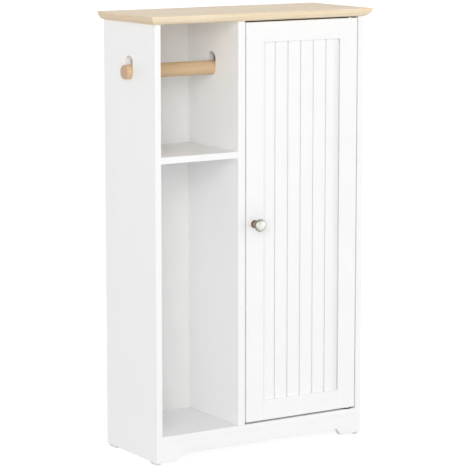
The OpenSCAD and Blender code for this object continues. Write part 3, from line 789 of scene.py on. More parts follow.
@dataclass
class Board:
    """One board or plate: its solid, with its arrises eased.

    Attributes:
        node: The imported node.
        body: The body that it rides on.
        ease_mm: Radius of the eased arrises.
        also: A test for further edges to ease, such as the rim of a slot.
        finish: The finish of the whole board.
        other_finish: The finish of one of its sides, where that differs.
        other_way: The way that this side looks.
        segments: Flats round an arris.
        shortest_mm: Edges shorter than this stay as they are.
    """

    node: str
    body: Body = Body.CARCASS
    ease_mm: float = 0.9
    also: EdgeTest | None = None
    finish: Finish = LACQUER
    other_finish: Finish | None = None
    other_way: Triple = (0.0, 1.0, 0.0)
    segments: int = 3
    shortest_mm: float = 2.0

    def planes(self, vert: bmesh.types.BMVert) -> set[tuple[int, int]]:
        """Returns which of the box's six planes a point lies on."""
        corners = enumerate(node_box(self.node))
        pairs = [(axis, side, corner) for side, corner in corners for axis in range(3)]
        return {(axis, side) for axis, side, corner in pairs if abs(vert.co[axis] - corner[axis]) < TOUCH}

    def is_arris(self, edge: Edge) -> bool:
        """Tells whether an edge lies where two of the box's planes meet."""
        shared = self.planes(edge.verts[0]) & self.planes(edge.verts[1])
        return len(shared) >= 2 and edge.calc_length() > self.shortest_mm * MM

    def build(self) -> Piece:
        """Builds the eased board.

        Returns:
            The board's object.
        """
        made = merged_copy(self.node)
        sharp = [e for e in made.edges if len(e.link_faces) == 2 and e.calc_face_angle(0.0) > SMOOTH_ANGLE]
        chosen = [e for e in sharp if self.is_arris(e) or (self.also is not None and self.also(e))]
        bmesh.ops.bevel(
            made, geom=chosen, offset=self.ease_mm * MM, offset_type="OFFSET", segments=self.segments,
            profile=0.5, affect="EDGES", clamp_overlap=False,
        )
        finishes = [self.finish]
        if self.other_finish is not None:
            finishes.append(self.other_finish)
            way = Vector(self.other_way)
            end = max(way.dot(corner) for corner in node_box(self.node))
            for face in made.faces:
                at_end = abs(way.dot(face.calc_center_median()) - end) < TOUCH
                if at_end and face.normal.dot(way) > SAME_WAY:
                    face.material_index = 1
        return add_piece(f"{self.node}_eased", to_mesh(made), finishes, self.body, [self.node])


def lies_at(edge: Edge, axis: int, level: float) -> bool:
    """Tells whether both ends of an edge lie in one plane across an axis."""
    return all(abs(vert.co[axis] - level) < TOUCH for vert in edge.verts)


def on_front(node: str) -> EdgeTest:
    """Makes a test for the edges that lie in a node's front face."""
    front = node_box(node)[0].y
    return lambda edge: lies_at(edge, 1, front)


def on_slot_rim(node: str, round_mm: float = 2.0, over_mm: float = 30.0) -> EdgeTest:
    """Makes a test for the edges round the rod's slot, on both faces of an upright panel.

    Args:
        node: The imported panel.
        round_mm: How far past the rod the slot may go, at its sides and below it.
        over_mm: How far it may go above the rod.

    Returns:
        The test.
    """
    low, high = node_box(node)
    rod_low, rod_high = node_box("roll_rod")

    def test(edge: Edge) -> bool:
        """Tells whether both ends lie on one face of the panel and near the rod."""
        near = all(
            rod_low.y - round_mm * MM < v.co.y < rod_high.y + round_mm * MM
            and rod_low.z - round_mm * MM < v.co.z < rod_high.z + over_mm * MM
            for v in edge.verts
        )
        return near and (lies_at(edge, 0, low.x) or lies_at(edge, 0, high.x))

    return test


@dataclass
class Carcass:
    """The fixed boards: side panels, divider, floor, plinth, back and shelves."""

    panel_ease_mm: float = 0.9
    shelf_ease_mm: float = 0.7
    back_ease_mm: float = 0.3

    def build(self) -> list[Piece]:
        """Builds the boards.

        Returns:
            Their objects.
        """
        tests = {
            "left_side_panel": on_slot_rim("left_side_panel"), "right_side_panel": None,
            "divider_panel": on_slot_rim("divider_panel"),
        }
        boards = [Board(node, ease_mm=self.panel_ease_mm, also=test) for node, test in tests.items()]
        for node in ("floor_board", "front_plinth", "bay_shelf", "lower_loose_shelf", "upper_loose_shelf"):
            test = on_front(node) if node == "front_plinth" else None
            boards.append(Board(node, ease_mm=self.shelf_ease_mm, also=test))
        boards.append(Board(
            "back_panel", ease_mm=self.back_ease_mm, finish=HARDBOARD_FACE, other_finish=HARDBOARD_REAR
        ))
        return [board.build() for board in boards]


def arc(centre: tuple[float, float], radius: float, start: float, end: float, steps: int) -> Outline:
    """Works out the points of an arc.

    Args:
        centre: The arc's centre.
        radius: Its radius.
        start: The angle of its first point, in degrees.
        end: The angle of its last point, in degrees.
        steps: Flats along it.

    Returns:
        The points.
    """
    angles = [math.radians(start + (end - start) * i / steps) for i in range(steps + 1)]
    return [(centre[0] + radius * math.cos(a), centre[1] + radius * math.sin(a)) for a in angles]


@dataclass
class MouldedTop:
    """The top board: a thin lip over one flat arc on three sides, and a plain rear edge.

    Attributes:
        lip_mm: Height of the plain strip along its upper edge.
        bulge_mm: How far the arc stands out past a straight bevel.
        ease_mm: Radius of the upper arris.
        arc_steps: Flats that the arc is drawn with.
        ease_steps: Flats that the arris is drawn with.
        end_shift: Where on the pattern the ends start, so that they don't repeat the front.
        end_split: How far each end lies from the pattern's middle, so that they differ.
    """

    lip_mm: float = 2.0
    bulge_mm: float = 2.7
    ease_mm: float = 0.6
    arc_steps: int = 14
    ease_steps: int = 4
    end_shift: float = 0.7
    end_split: float = 0.31

    def profile(self, overhang: float, thickness: float) -> Outline:
        """Works out the moulded edge.

        Args:
            overhang: How far the top stands out past the side panels.
            thickness: The top's thickness.

        Returns:
            Points from the upper face round to the underside: distance in from the outermost edge, and
            height over the underside.
        """
        drop = thickness - self.lip_mm * MM
        chord = math.hypot(overhang, drop)
        bulge = self.bulge_mm * MM
        radius = ((chord / 2) ** 2 + bulge ** 2) / (2 * bulge)
        inward = radius - bulge
        centre = (overhang / 2 + inward * drop / chord, drop / 2 + inward * overhang / chord)
        start = math.degrees(math.atan2(drop - centre[1], -centre[0]) % math.tau)
        end = math.degrees(math.atan2(-centre[1], overhang - centre[0]) % math.tau)
        ease = self.ease_mm * MM
        upper = arc((ease, thickness - ease), ease, 90.0, 180.0, self.ease_steps)
        return upper + arc(centre, radius, start, end, self.arc_steps)

    def build(self) -> Piece:
        """Builds the top.

        Returns:
            The top's object.
        """
        low, high = node_box("top_board")
        side_low, _ = node_box("left_side_panel")
        profile = self.profile(side_low.x - low.x, high.z - low.z)
        made = bmesh.new()
        rings = []
        for inset, height in profile:
            left, right, front = low.x + inset, high.x - inset, low.y + inset
            corners = ((left, high.y), (left, front), (right, front), (right, high.y))
            rings.append([made.verts.new((x, y, low.z + height)) for x, y in corners])
        for upper, lower in zip(rings, rings[1:]):
            for i in range(3):
                made.faces.new((upper[i], lower[i], lower[i + 1], upper[i + 1]))
        made.faces.new(rings[0])
        made.faces.new(reversed(rings[-1]))
        made.faces.new([ring[0] for ring in reversed(rings)] + [ring[3] for ring in rings])
        bmesh.ops.recalc_face_normals(made, faces=made.faces[:])
        self.lay_grain(made, profile)
        for face in made.faces:
            face.material_index = int(abs(face.normal.x) > END_SHARE)
        return add_piece("moulded_top", to_mesh(made), [BEECH_TOP, BEECH_ENDS], Body.CARCASS, ["top_board"])

    def lay_grain(self, made: Work, profile: Outline) -> None:
        """Lays the grain along the front, and along both ends, in UV metres.

        Args:
            made: The top's mesh.
            profile: The moulded edge, whose length the pattern goes round.
        """
        travelled = [0.0]
        for before, after in zip(profile, profile[1:]):
            travelled.append(travelled[-1] + math.dist(before, after))
        low = node_box("top_board")[0]
        lengths = {round(height, 6): run for (_, height), run in zip(profile, travelled)}
        grain = made.loops.layers.uv.new("grain")
        for face in made.faces:
            across = abs(face.normal.x) > abs(face.normal.y)
            split = self.end_split * math.copysign(1.0, face.normal.x)
            for loop in face.loops:
                point = loop.vert.co
                run = lengths[round(point.z - low.z, 6)]
                if abs(face.normal.z) > LEVEL_SHARE:
                    loop[grain].uv = (point.x, point.y)
                elif across:
                    loop[grain].uv = (point.y + self.end_shift, run + split)
                else:
                    loop[grain].uv = (point.x, low.y - run if face.normal.y < 0 else point.z)


class GeometryTree(Graph):
    """A Geometry Nodes tree with named inputs, one of which is its finish.

    Attributes:
        keys: The identifier of each named input.
        given: The sockets that the inputs come in by.
    """

    def __init__(self, title: str, inputs: dict[str, str]) -> None:
        """Starts the tree.

        Args:
            title: Its name.
            inputs: The kind of each named input.
        """
        super().__init__(bpy.data.node_groups.new(title, "GeometryNodeTree"))
        make = self.tree.interface.new_socket
        self.keys = {
            name: make(name=name, in_out="INPUT", socket_type=f"NodeSocket{kind}").identifier
            for name, kind in inputs.items()
        }
        make(name="Result", in_out="OUTPUT", socket_type="NodeSocketGeometry")
        self.given = self.node("NodeGroupInput").outputs

    def close(self, geometry: Socket) -> None:
        """Ends the tree in real geometry that wears its finish."""
        plain = self.out("GeometryNodeRealizeInstances", {"Geometry": geometry})
        finish = {"Geometry": plain, "Material": self.given["Finish"]}
        self.node("NodeGroupOutput", {0: self.out("GeometryNodeSetMaterial", finish)})

    def run(self, mesh: Mesh, values: dict[str, Any]) -> Mesh:
        """Runs the tree.

        Args:
            mesh: The mesh that it starts from.
            values: A value for each named input.

        Returns:
            The plain mesh.
        """
        holder = new_object("holder", mesh)
        modifier = holder.modifiers.new("nodes", "NODES")
        modifier.node_group = self.tree
        for name, value in values.items():
            modifier[self.keys[name]] = value
        return bake(holder)


class PlankedPanelTree(GeometryTree):
    """Geometry Nodes that rout evenly spaced V grooves into the face of a flat panel.

    The panel is drawn in its own middle: width along X, height along Z, its face towards -Y at zero.
    """

    SIZES = (
        "Width", "Height", "Thickness", "Pitch", "Grooved Span", "Groove Width", "Groove Depth", "Ease",
    )

    def __init__(self) -> None:
        """Builds the tree."""
        super().__init__("planked_panel", {
            **dict.fromkeys(self.SIZES, "Float"), "Columns": "Int", "Finish": "Material",
        })
        sizes = self.given
        sheet = self.out("GeometryNodeMeshGrid", {
            "Size X": sizes["Width"], "Size Y": sizes["Height"], "Vertices X": sizes["Columns"],
            "Vertices Y": 2,
        })
        upright = self.out("GeometryNodeTransform", {
            "Geometry": sheet, "Rotation": (math.pi / 2, 0.0, 0.0),
        })
        depth = self.groove_depth()
        # Each point's groove depth is stored for the panel lacquer's painted groove shade
        marked = self.mark(upright, self.math("DIVIDE", depth, sizes["Groove Depth"]), True)
        inwards = self.out("ShaderNodeCombineXYZ", {"Y": depth})
        face = self.out("GeometryNodeSetPosition", {"Geometry": marked, "Offset": inwards})
        back_way = self.out("ShaderNodeCombineXYZ", {"Y": sizes["Thickness"]})
        solid = self.node("GeometryNodeExtrudeMesh", {
            "Mesh": face, "Offset": back_way, "Offset Scale": 1.0, "Individual": False,
        }).outputs
        apart = self.node("ShaderNodeSeparateXYZ", {0: self.out("GeometryNodeInputPosition")}).outputs
        level = self.out("ShaderNodeCombineXYZ", {
            "X": apart["X"], "Y": sizes["Thickness"], "Z": apart["Z"],
        })
        flat_back = self.out("GeometryNodeSetPosition", {
            "Geometry": solid["Mesh"], "Selection": solid["Top"], "Position": level,
        })
        turned = self.out("GeometryNodeFlipFaces", {"Mesh": self.mark(flat_back, 0.0, solid["Top"])})
        whole = self.node("GeometryNodeJoinGeometry")
        for part in (face, turned):
            self.feed(whole, 0, part)
        self.close(self.out("GeometryNodeMergeByDistance", {
            "Geometry": whole.outputs[0], "Distance": MERGE_GAP,
        }))

    def mark(self, geometry: Socket, depth: Socket | float, chosen: Socket | bool) -> Socket:
        """Stores on the chosen points how deep they lie, and returns the geometry."""
        return self.out("GeometryNodeStoreNamedAttribute", {
            "Geometry": geometry, "Selection": chosen, "Name": GROOVE_DEPTH, "Value": depth,
        }, data_type="FLOAT", domain="POINT")

    def groove_depth(self) -> Socket:
        """Adds the nodes that work out how deep each point of the face lies.

        Returns:
            The depth.
        """
        sizes = self.given
        across = self.out("ShaderNodeSeparateXYZ", {0: self.out("GeometryNodeInputPosition")}, "X")
        distance = self.math("PINGPONG", across, self.math("MULTIPLY", sizes["Pitch"], 0.5))
        half_width = self.math("MULTIPLY", sizes["Groove Width"], 0.5)
        slope = self.math("SUBTRACT", 1.0, self.math("DIVIDE", distance, half_width))
        wall = self.math("MULTIPLY", slope, sizes["Groove Depth"])
        eased = self.math("SMOOTH_MAX", wall, 0.0, sizes["Ease"])
        inside = self.math("LESS_THAN", self.math("ABSOLUTE", across), sizes["Grooved Span"])
        return self.math("MULTIPLY", eased, inside)


@dataclass
class DoorFrame:
    """The door: two stiles, two rails and the planked panel in their grooves.

    Attributes:
        ease_mm: Radius of the stiles' arrises.
        rail_ease_mm: Radius of the rails' arrises.
        plank_mm: Nominal width of one plank.
        groove_mm: Width of the V groove between two planks.
        groove_depth_mm: Its depth.
        groove_ease_mm: How far paint and sandpaper round it.
        column_mm: Width of one strip of the panel's mesh.
    """

    ease_mm: float = 0.8
    rail_ease_mm: float = 0.6
    plank_mm: float = 28.0
    groove_mm: float = 3.2
    groove_depth_mm: float = 2.0
    groove_ease_mm: float = 0.5
    column_mm: float = 0.25

    def build(self) -> list[Piece]:
        """Builds the frame and the panel.

        Returns:
            Their objects.
        """
        # The stiles' inner faces beside the panel get the lacquer with painted shade
        boards = [
            Board(node, Body.DOOR, self.ease_mm, other_finish=RECESS_SHADE_LACQUER, other_way=(way, 0.0, 0.0))
            for node, way in (("knob_stile", 1.0), ("hinge_stile", -1.0))
        ]
        for node in ("door_top_rail", "door_bottom_rail"):
            boards.append(Board(node, Body.DOOR, self.rail_ease_mm, segments=2))
        return [board.build() for board in boards] + [self.build_panel()]

    def build_panel(self) -> Piece:
        """Routs the planks by Geometry Nodes.

        Returns:
            The panel's object.
        """
        low, high = node_box("door_panel")
        opening = node_box("hinge_stile")[0].x - node_box("knob_stile")[1].x
        planks = max(2, round(opening / (self.plank_mm * MM)))
        pitch = opening / planks
        mesh = PlankedPanelTree().run(bpy.data.meshes.new("planks"), {
            "Width": high.x - low.x, "Height": high.z - low.z, "Thickness": high.y - low.y,
            "Pitch": pitch, "Grooved Span": (opening - pitch) / 2,
            "Groove Width": self.groove_mm * MM, "Groove Depth": self.groove_depth_mm * MM,
            "Ease": self.groove_ease_mm * MM,
            "Columns": round((high.x - low.x) / (self.column_mm * MM)) + 1,
            "Finish": PLANK_LACQUER.material(),
        })
        shift = planks % 2 * pitch / 2
        mesh.transform(Matrix.Translation(((low.x + high.x) / 2 + shift, low.y, (low.z + high.z) / 2)))
        mesh.shade_flat()
        return add_piece("planked_panel", mesh, [PLANK_LACQUER], Body.DOOR, ["door_panel"])


def lathe(profile: Outline, steps: int, turn: Matrix) -> Work:
    """Turns a profile round an axis.

    Args:
        profile: Points from one end of the axis to the other: radius and place along +Z.
        steps: Flats round the axis.
        turn: Takes the axis from +Z at the origin to its place.

    Returns:
        The closed mesh.
    """
    made = bmesh.new()
    rings: list[list[bmesh.types.BMVert]] = []
    for radius, height in profile:
        turns = [math.tau * i / steps for i in range(steps)] if radius > ON_AXIS else [0.0]
        rings.append([made.verts.new((radius * math.cos(t), radius * math.sin(t), height)) for t in turns])
    for lower, upper in zip(rings, rings[1:]):
        for i in range(steps):
            corners = dict.fromkeys((
                lower[i % len(lower)], lower[(i + 1) % len(lower)],
                upper[(i + 1) % len(upper)], upper[i % len(upper)],
            ))
            if len(corners) > 2:
                made.faces.new(corners)
    made.transform(turn)
    bmesh.ops.recalc_face_normals(made, faces=made.faces[:])
    return made


@dataclass
class RollRod:
    """The loose beech rod, its ends eased on the lathe.

    Attributes:
        bevel_mm: Radius of the eased ends.
        bevel_steps: Flats that they are drawn with.
        steps: Flats round the rod.
        end_share: A face that looks this much along the rod is end grain.
    """

    bevel_mm: float = 1.5
    bevel_steps: int = 5
    steps: int = 96
    end_share: float = 0.35

    def build(self) -> Piece:
        """Turns the rod.

        Returns:
            The rod's object.
        """
        low, high = node_box("roll_rod")
        radius = (high.z - low.z) / 2
        length = high.x - low.x
        bevel = self.bevel_mm * MM
        profile = [(0.0, 0.0)]
        profile += arc((radius - bevel, bevel), bevel, -90.0, 0.0, self.bevel_steps)
        profile += arc((radius - bevel, length - bevel), bevel, 0.0, 90.0, self.bevel_steps)
        profile += [(0.0, length)]
        start = Matrix.Translation((low.x, *middle("roll_rod")[1:]))
        made = lathe(profile, self.steps, start @ Matrix.Rotation(math.pi / 2, 4, "Y"))
        for face in made.faces:
            face.material_index = int(abs(face.normal.x) > self.end_share)
        return add_piece("turned_rod", to_mesh(made), [ROD_BEECH, ROD_ENDS], Body.ROD, ["roll_rod"])


@dataclass
class Knob:
    """The turned knob: a coned foot, a drawn-in neck and a full, flattened head.

    Attributes:
        foot_mm: Height of the foot.
        foot_d_mm: Its diameter.
        rim_mm: Radius of its rim.
        rim_start_deg: Where the rim's rounding starts.
        rim_end_deg: Where it ends.
        sole_in_mm: How far its sole is drawn in.
        cone_in_mm: How far the neck's curve starts inside its rim.
        neck_mm: Diameter of the neck.
        neck_rise_mm: How far the neck runs up into the head.
        neck_hollow: How quickly the curve falls to the neck.
        head_mm: Thickness of the head.
        fullness: How square the head's side is; 1 is an ellipse.
        join_share: The head starts this much wider than the neck.
    """

    foot_mm: float = 2.5
    foot_d_mm: float = 14.5
    rim_mm: float = 0.6
    rim_start_deg: float = -30.0
    rim_end_deg: float = 80.0
    rim_steps: int = 6
    sole_in_mm: float = 0.3
    cone_in_mm: float = 1.5
    neck_mm: float = 8.0
    neck_rise_mm: float = 0.8
    neck_hollow: float = 2.6
    neck_steps: int = 12
    head_mm: float = 10.0
    head_steps: int = 40
    fullness: float = 0.75
    join_share: float = 1.04
    steps: int = 72

    def build(self) -> Piece:
        """Turns the knob.

        Returns:
            The knob's object.
        """
        low, high = node_box("door_knob")
        head = self.head_mm * MM
        neck_r = self.neck_mm * MM / 2
        foot_r = self.foot_d_mm * MM / 2
        rim = self.rim_mm * MM
        shoulder = knob_reach() - head
        profile = [(0.0, 0.0), (foot_r - self.sole_in_mm * MM, 0.0)]
        profile += arc((foot_r - rim, rim), rim, self.rim_start_deg, self.rim_end_deg, self.rim_steps)
        profile += self.sweep(
            (foot_r - self.cone_in_mm * MM, self.foot_mm * MM), (neck_r, shoulder + self.neck_rise_mm * MM)
        )
        profile += self.head((high.z - low.z) / 2, shoulder, head, neck_r)
        turn = Matrix.Translation(knob_root()) @ Matrix.Rotation(math.pi / 2, 4, "X")
        mesh = to_mesh(lathe(profile, self.steps, turn))
        return add_piece("turned_knob", mesh, [NICKEL], Body.DOOR, ["door_knob"])

    def sweep(self, start: tuple[float, float], end: tuple[float, float]) -> Outline:
        """Works out the hollow curve from the foot up to the neck.

        Args:
            start: Its first point, as radius and height.
            end: Its last point.

        Returns:
            The points.
        """
        points = []
        for i in range(self.neck_steps + 1):
            share = i / self.neck_steps
            fall = (1.0 - share) ** self.neck_hollow
            points.append((end[0] + (start[0] - end[0]) * fall, start[1] + (end[1] - start[1]) * share))
        return points

    def head(self, radius: float, start: float, depth: float, neck: float) -> Outline:
        """Works out the head, from the neck round to the tip of the face.

        Args:
            radius: The head's radius.
            start: The height where it starts.
            depth: Its thickness.
            neck: The neck's radius.

        Returns:
            The points.
        """
        points = []
        for i in range(self.head_steps + 1):
            turn = math.pi * i / self.head_steps
            out = radius * math.sin(turn) ** self.fullness if 0 < i < self.head_steps else 0.0
            if turn < math.pi / 2 and out < neck * self.join_share:
                continue
            points.append((out, start + depth * (1 - math.cos(turn)) / 2))
        return points


def loose_boxes(node: str) -> list[tuple[Vector, Vector]]:
    """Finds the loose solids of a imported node.

    Args:
        node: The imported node.

    Returns:
        The lowest and highest corners of each, in order of their places.
    """
    made = merged_copy(node)
    waiting = set(made.verts)
    boxes = []
    while waiting:
        reached = [waiting.pop()]
        group = []
        while reached:
            vert = reached.pop()
            group.append(vert.co.copy())
            beyond = {edge.other_vert(vert) for edge in vert.link_edges} & waiting
            waiting -= beyond
            reached += beyond
        corners = [Vector(pick(place[axis] for place in group) for axis in range(3)) for pick in (min, max)]
        boxes.append(tuple(corners))
    made.free()
    return sorted(boxes, key=lambda box: tuple(round(c, 5) for c in box[0]))


@dataclass(frozen=True)
class Seat:
    """Where one piece of hardware sits.

    Attributes:
        place: The place of its pattern's origin.
        aim: The direction that its pattern's +Z takes.
    """

    place: Vector
    aim: Vector


class HardwareTree(GeometryTree):
    """Geometry Nodes that set out copies of one pattern on their seats, each turned by a fixed chance."""

    def __init__(self) -> None:
        """Builds the tree."""
        super().__init__("set_out_hardware", {
            "Seats": "Geometry", "Pattern": "Object", "Finish": "Material", "Turn": "Float", "Seed": "Int",
        })
        given = self.given
        aim = self.out(
            "GeometryNodeInputNamedAttribute", {"Name": AIM}, "Attribute", data_type="FLOAT_VECTOR"
        )
        aimed = self.out("FunctionNodeAlignRotationToVector", {"Vector": aim}, axis="Z")
        pattern = self.out("GeometryNodeObjectInfo", {"Object": given["Pattern"]}, "Geometry")
        copies = self.out("GeometryNodeInstanceOnPoints", {
            "Points": given["Seats"], "Instance": pattern, "Rotation": aimed,
        })
        chance = self.out("FunctionNodeRandomValue", {
            2: 0.0, 3: given["Turn"], "Seed": given["Seed"],
        }, 1, data_type="FLOAT")
        self.close(self.out("GeometryNodeRotateInstances", {
            "Instances": copies, "Rotation": self.out("ShaderNodeCombineXYZ", {"Z": chance}),
            "Local Space": True,
        }))

    def set_out(
        self, title: str, node: str, pattern: Mesh, seats: Sequence[Seat], finish: Finish,
        body: Body = Body.CARCASS, turn: float = 0.0, seed: int = 0,
    ) -> Piece:
        """Sets copies of one pattern out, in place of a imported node.

        Args:
            title: The piece's name.
            node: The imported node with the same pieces.
            pattern: The mesh of one of them, at the origin, with its axis along +Z.
            seats: Where each copy goes.
            finish: Their finish.
            body: The body that they ride on.
            turn: The most that a copy is turned round its own axis, in radians.
            seed: Which fixed row of chances is used.

        Returns:
            One object with all the copies.
        """
        points = bpy.data.meshes.new("seats")
        points.from_pydata([seat.place for seat in seats], [], [])
        aims = points.attributes.new(AIM, "FLOAT_VECTOR", "POINT")
        for value, seat in zip(aims.data, seats):
            value.vector = seat.aim
        original = new_object("pattern", pattern)
        values = {"Pattern": original, "Finish": finish.material(), "Turn": turn, "Seed": seed}
        mesh = self.run(points, values)
        bpy.data.objects.remove(original)
        shade(mesh)
        return add_piece(title, mesh, [finish], body, [node])


class ScrewHead(Enum):
    """The two kinds of screw head."""

    PAN = "pan"
    FLAT = "flat"


@dataclass
class Screws:
    """A set of equal wood screws with cross recesses, each left at the turn that it was driven to.

    Their threads are drawn as rings, because they are hidden in the boards.

    Attributes:
        node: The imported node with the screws.
        head: The kind of head.
        aim: The direction from their tips to their heads.
        shank_mm: Diameter over the thread.
        body: The body that they ride on.
        pitch_mm: Distance between two rings of the thread.
        core_share: The core's diameter, as a share of the thread's.
        tip_share: Length of the tip, in radii of the thread.
        plain_mm: Length of the plain neck under the head.
        step_mm: Where the neck ends, under the head.
        pan_high_mm: Height of a pan head.
        dome_share: How much of that height its rounding takes.
        rim_mm: Height of a flat head's rim.
        recess_share: Reach of the recess, as a share of the head's radius.
        recess_mm: Its depth.
        recess_wide_mm: Width of its arms.
        recess_taper: Its size at the bottom, as a share of that at the top.
        recess_over_mm: How far its cutter stands out of the head.
        steps: Flats round the screw.
    """

    node: str
    head: ScrewHead
    aim: Triple
    shank_mm: float
    body: Body = Body.CARCASS
    pitch_mm: float = 1.3
    core_share: float = 0.72
    tip_share: float = 1.4
    plain_mm: float = 2.0
    step_mm: float = 0.4
    pan_high_mm: float = 1.8
    dome_share: float = 0.75
    dome_steps: int = 7
    rim_mm: float = 0.15
    recess_share: float = 0.56
    recess_mm: float = 1.1
    recess_wide_mm: float = 0.85
    recess_taper: float = 0.55
    recess_over_mm: float = 0.4
    steps: int = 32

    def head_profile(self, head: float, shank: float) -> Outline:
        """Works out the head, from its underside round to the middle of its top at zero.

        Args:
            head: The head's radius.
            shank: The shank's radius.

        Returns:
            Its points.
        """
        if self.head is ScrewHead.FLAT:
            rim = self.rim_mm * MM
            return [(shank, shank - head), (head - rim, -rim), (head - rim, 0.0), (0.0, 0.0)]
        high = self.pan_high_mm * MM
        corner = high * self.dome_share
        dome = arc((head - corner, -corner), corner, 0.0, 90.0, self.dome_steps)
        return [(shank, -high), (head, -high)] + dome[1:-1] + [(head - corner, 0.0), (0.0, 0.0)]

    def recess(self, head: float) -> Work:
        """Builds the body of a cross recess, which narrows as it goes down.

        Args:
            head: The head's radius.

        Returns:
            Its closed mesh.
        """
        reach = head * self.recess_share
        half = self.recess_wide_mm * MM / 2
        outline = []
        for quarter in range(4):
            turn = Matrix.Rotation(quarter * math.pi / 2, 2)
            outline += [turn @ Vector(corner) for corner in ((reach, -half), (reach, half), (half, half))]
        made = bmesh.new()
        levels = ((1.0, self.recess_over_mm * MM), (self.recess_taper, -self.recess_mm * MM))
        upper, lower = [
            [made.verts.new((corner.x * share, corner.y * share, height)) for corner in outline]
            for share, height in levels
        ]
        for i in range(len(outline)):
            made.faces.new((upper[i - 1], upper[i], lower[i], lower[i - 1]))
        made.faces.new(upper)
        made.faces.new(lower)
        bmesh.ops.recalc_face_normals(made, faces=made.faces[:])
        return made

    def pattern(self, length: float, head: float) -> Mesh:
        """Turns one screw and cuts its recess.

        Args:
            length: Its whole length.
            head: Its head's radius.

        Returns:
            Its mesh, with the top of the head at zero and the tip towards -Z.
        """
        shank = self.shank_mm * MM / 2
        core = shank * self.core_share
        top = self.head_profile(head, shank)
        start = -length + self.tip_share * shank
        end = top[0][1] - self.plain_mm * MM
        turns = max(1, round((end - start) / (self.pitch_mm * MM)))
        profile = [(0.0, -length)]
        for i in range(turns):
            profile.append((core, start + (end - start) * i / turns))
            profile.append((shank, start + (end - start) * (i + 0.5) / turns))
        profile += [(core, end), (core, top[0][1] - self.step_mm * MM)]
        blank = new_object("screw", to_mesh(lathe(profile + top, self.steps, Matrix.Identity(4))))
        cutter = new_object("recess", to_mesh(self.recess(head)))
        cut = blank.modifiers.new("recess", "BOOLEAN")
        cut.operation = "DIFFERENCE"
        cut.solver = "EXACT"
        cut.object = cutter
        mesh = bake(blank)
        bpy.data.objects.remove(cutter)
        return mesh

    def build(self, tree: HardwareTree) -> Piece:
        """Builds the screws.

        Args:
            tree: The tree that sets them out.

        Returns:
            Their object.
        """
        boxes = loose_boxes(self.node)
        aim = Vector(self.aim)
        size = boxes[0][1] - boxes[0][0]
        length = abs(size.dot(aim))
        head = max((size - aim * size.dot(aim)).to_tuple()) / 2
        seats = [Seat((low + high) / 2 + aim * length / 2, aim) for low, high in boxes]
        return tree.set_out(
            f"{self.node}_threaded", self.node, self.pattern(length, head), seats, ZINC_STEEL, self.body,
            math.pi / 2, len(self.node),
        )


@dataclass
class ShelfPins:
    """The turned pins under the loose shelves, with rounded ends and a collar against the panel.

    Attributes:
        peg_mm: Diameter of the peg.
        in_panel_mm: How far it is pushed into the panel.
        collar_mm: Thickness of the collar.
        ease_mm: Radius of the rounded ends.
        collar_ease_mm: Radius of the collar's rims.
    """

    peg_mm: float = 5.0
    in_panel_mm: float = 8.0
    collar_mm: float = 1.0
    ease_mm: float = 0.6
    collar_ease_mm: float = 0.25
    ease_steps: int = 4
    collar_steps: int = 3
    steps: int = 40

    def build(self, tree: HardwareTree) -> Piece:
        """Builds the pins.

        Args:
            tree: The tree that sets them out.

        Returns:
            Their object.
        """
        boxes = loose_boxes("shelf_pins")
        low, high = boxes[0]
        peg, ease = self.peg_mm * MM / 2, self.ease_mm * MM
        collar, rim = (high.z - low.z) / 2, self.collar_ease_mm * MM
        inner, thick = -self.in_panel_mm * MM, self.collar_mm * MM
        outer = high.x - low.x + inner
        ends, rims = self.ease_steps, self.collar_steps
        profile = [(0.0, inner)] + arc((peg - ease, inner + ease), ease, -90.0, 0.0, ends)
        profile += [(peg, 0.0)] + arc((collar - rim, rim), rim, -90.0, 0.0, rims)
        profile += arc((collar - rim, thick - rim), rim, 0.0, 90.0, rims) + [(peg, thick)]
        profile += arc((peg - ease, outer - ease), ease, 0.0, 90.0, ends) + [(0.0, outer)]
        seats = []
        middle_x = sum(box[0].x + box[1].x for box in boxes) / len(boxes) / 2
        for low, high in boxes:
            side = 1.0 if (low.x + high.x) / 2 < middle_x else -1.0
            face = low.x - inner if side > 0 else high.x + inner
            place = Vector((face, (low.y + high.y) / 2, (low.z + high.z) / 2))
            seats.append(Seat(place, Vector((side, 0, 0))))
        pattern = to_mesh(lathe(profile, self.steps, Matrix.Identity(4)))
        return tree.set_out("shelf_pins_turned", "shelf_pins", pattern, seats, ZINC_STEEL)


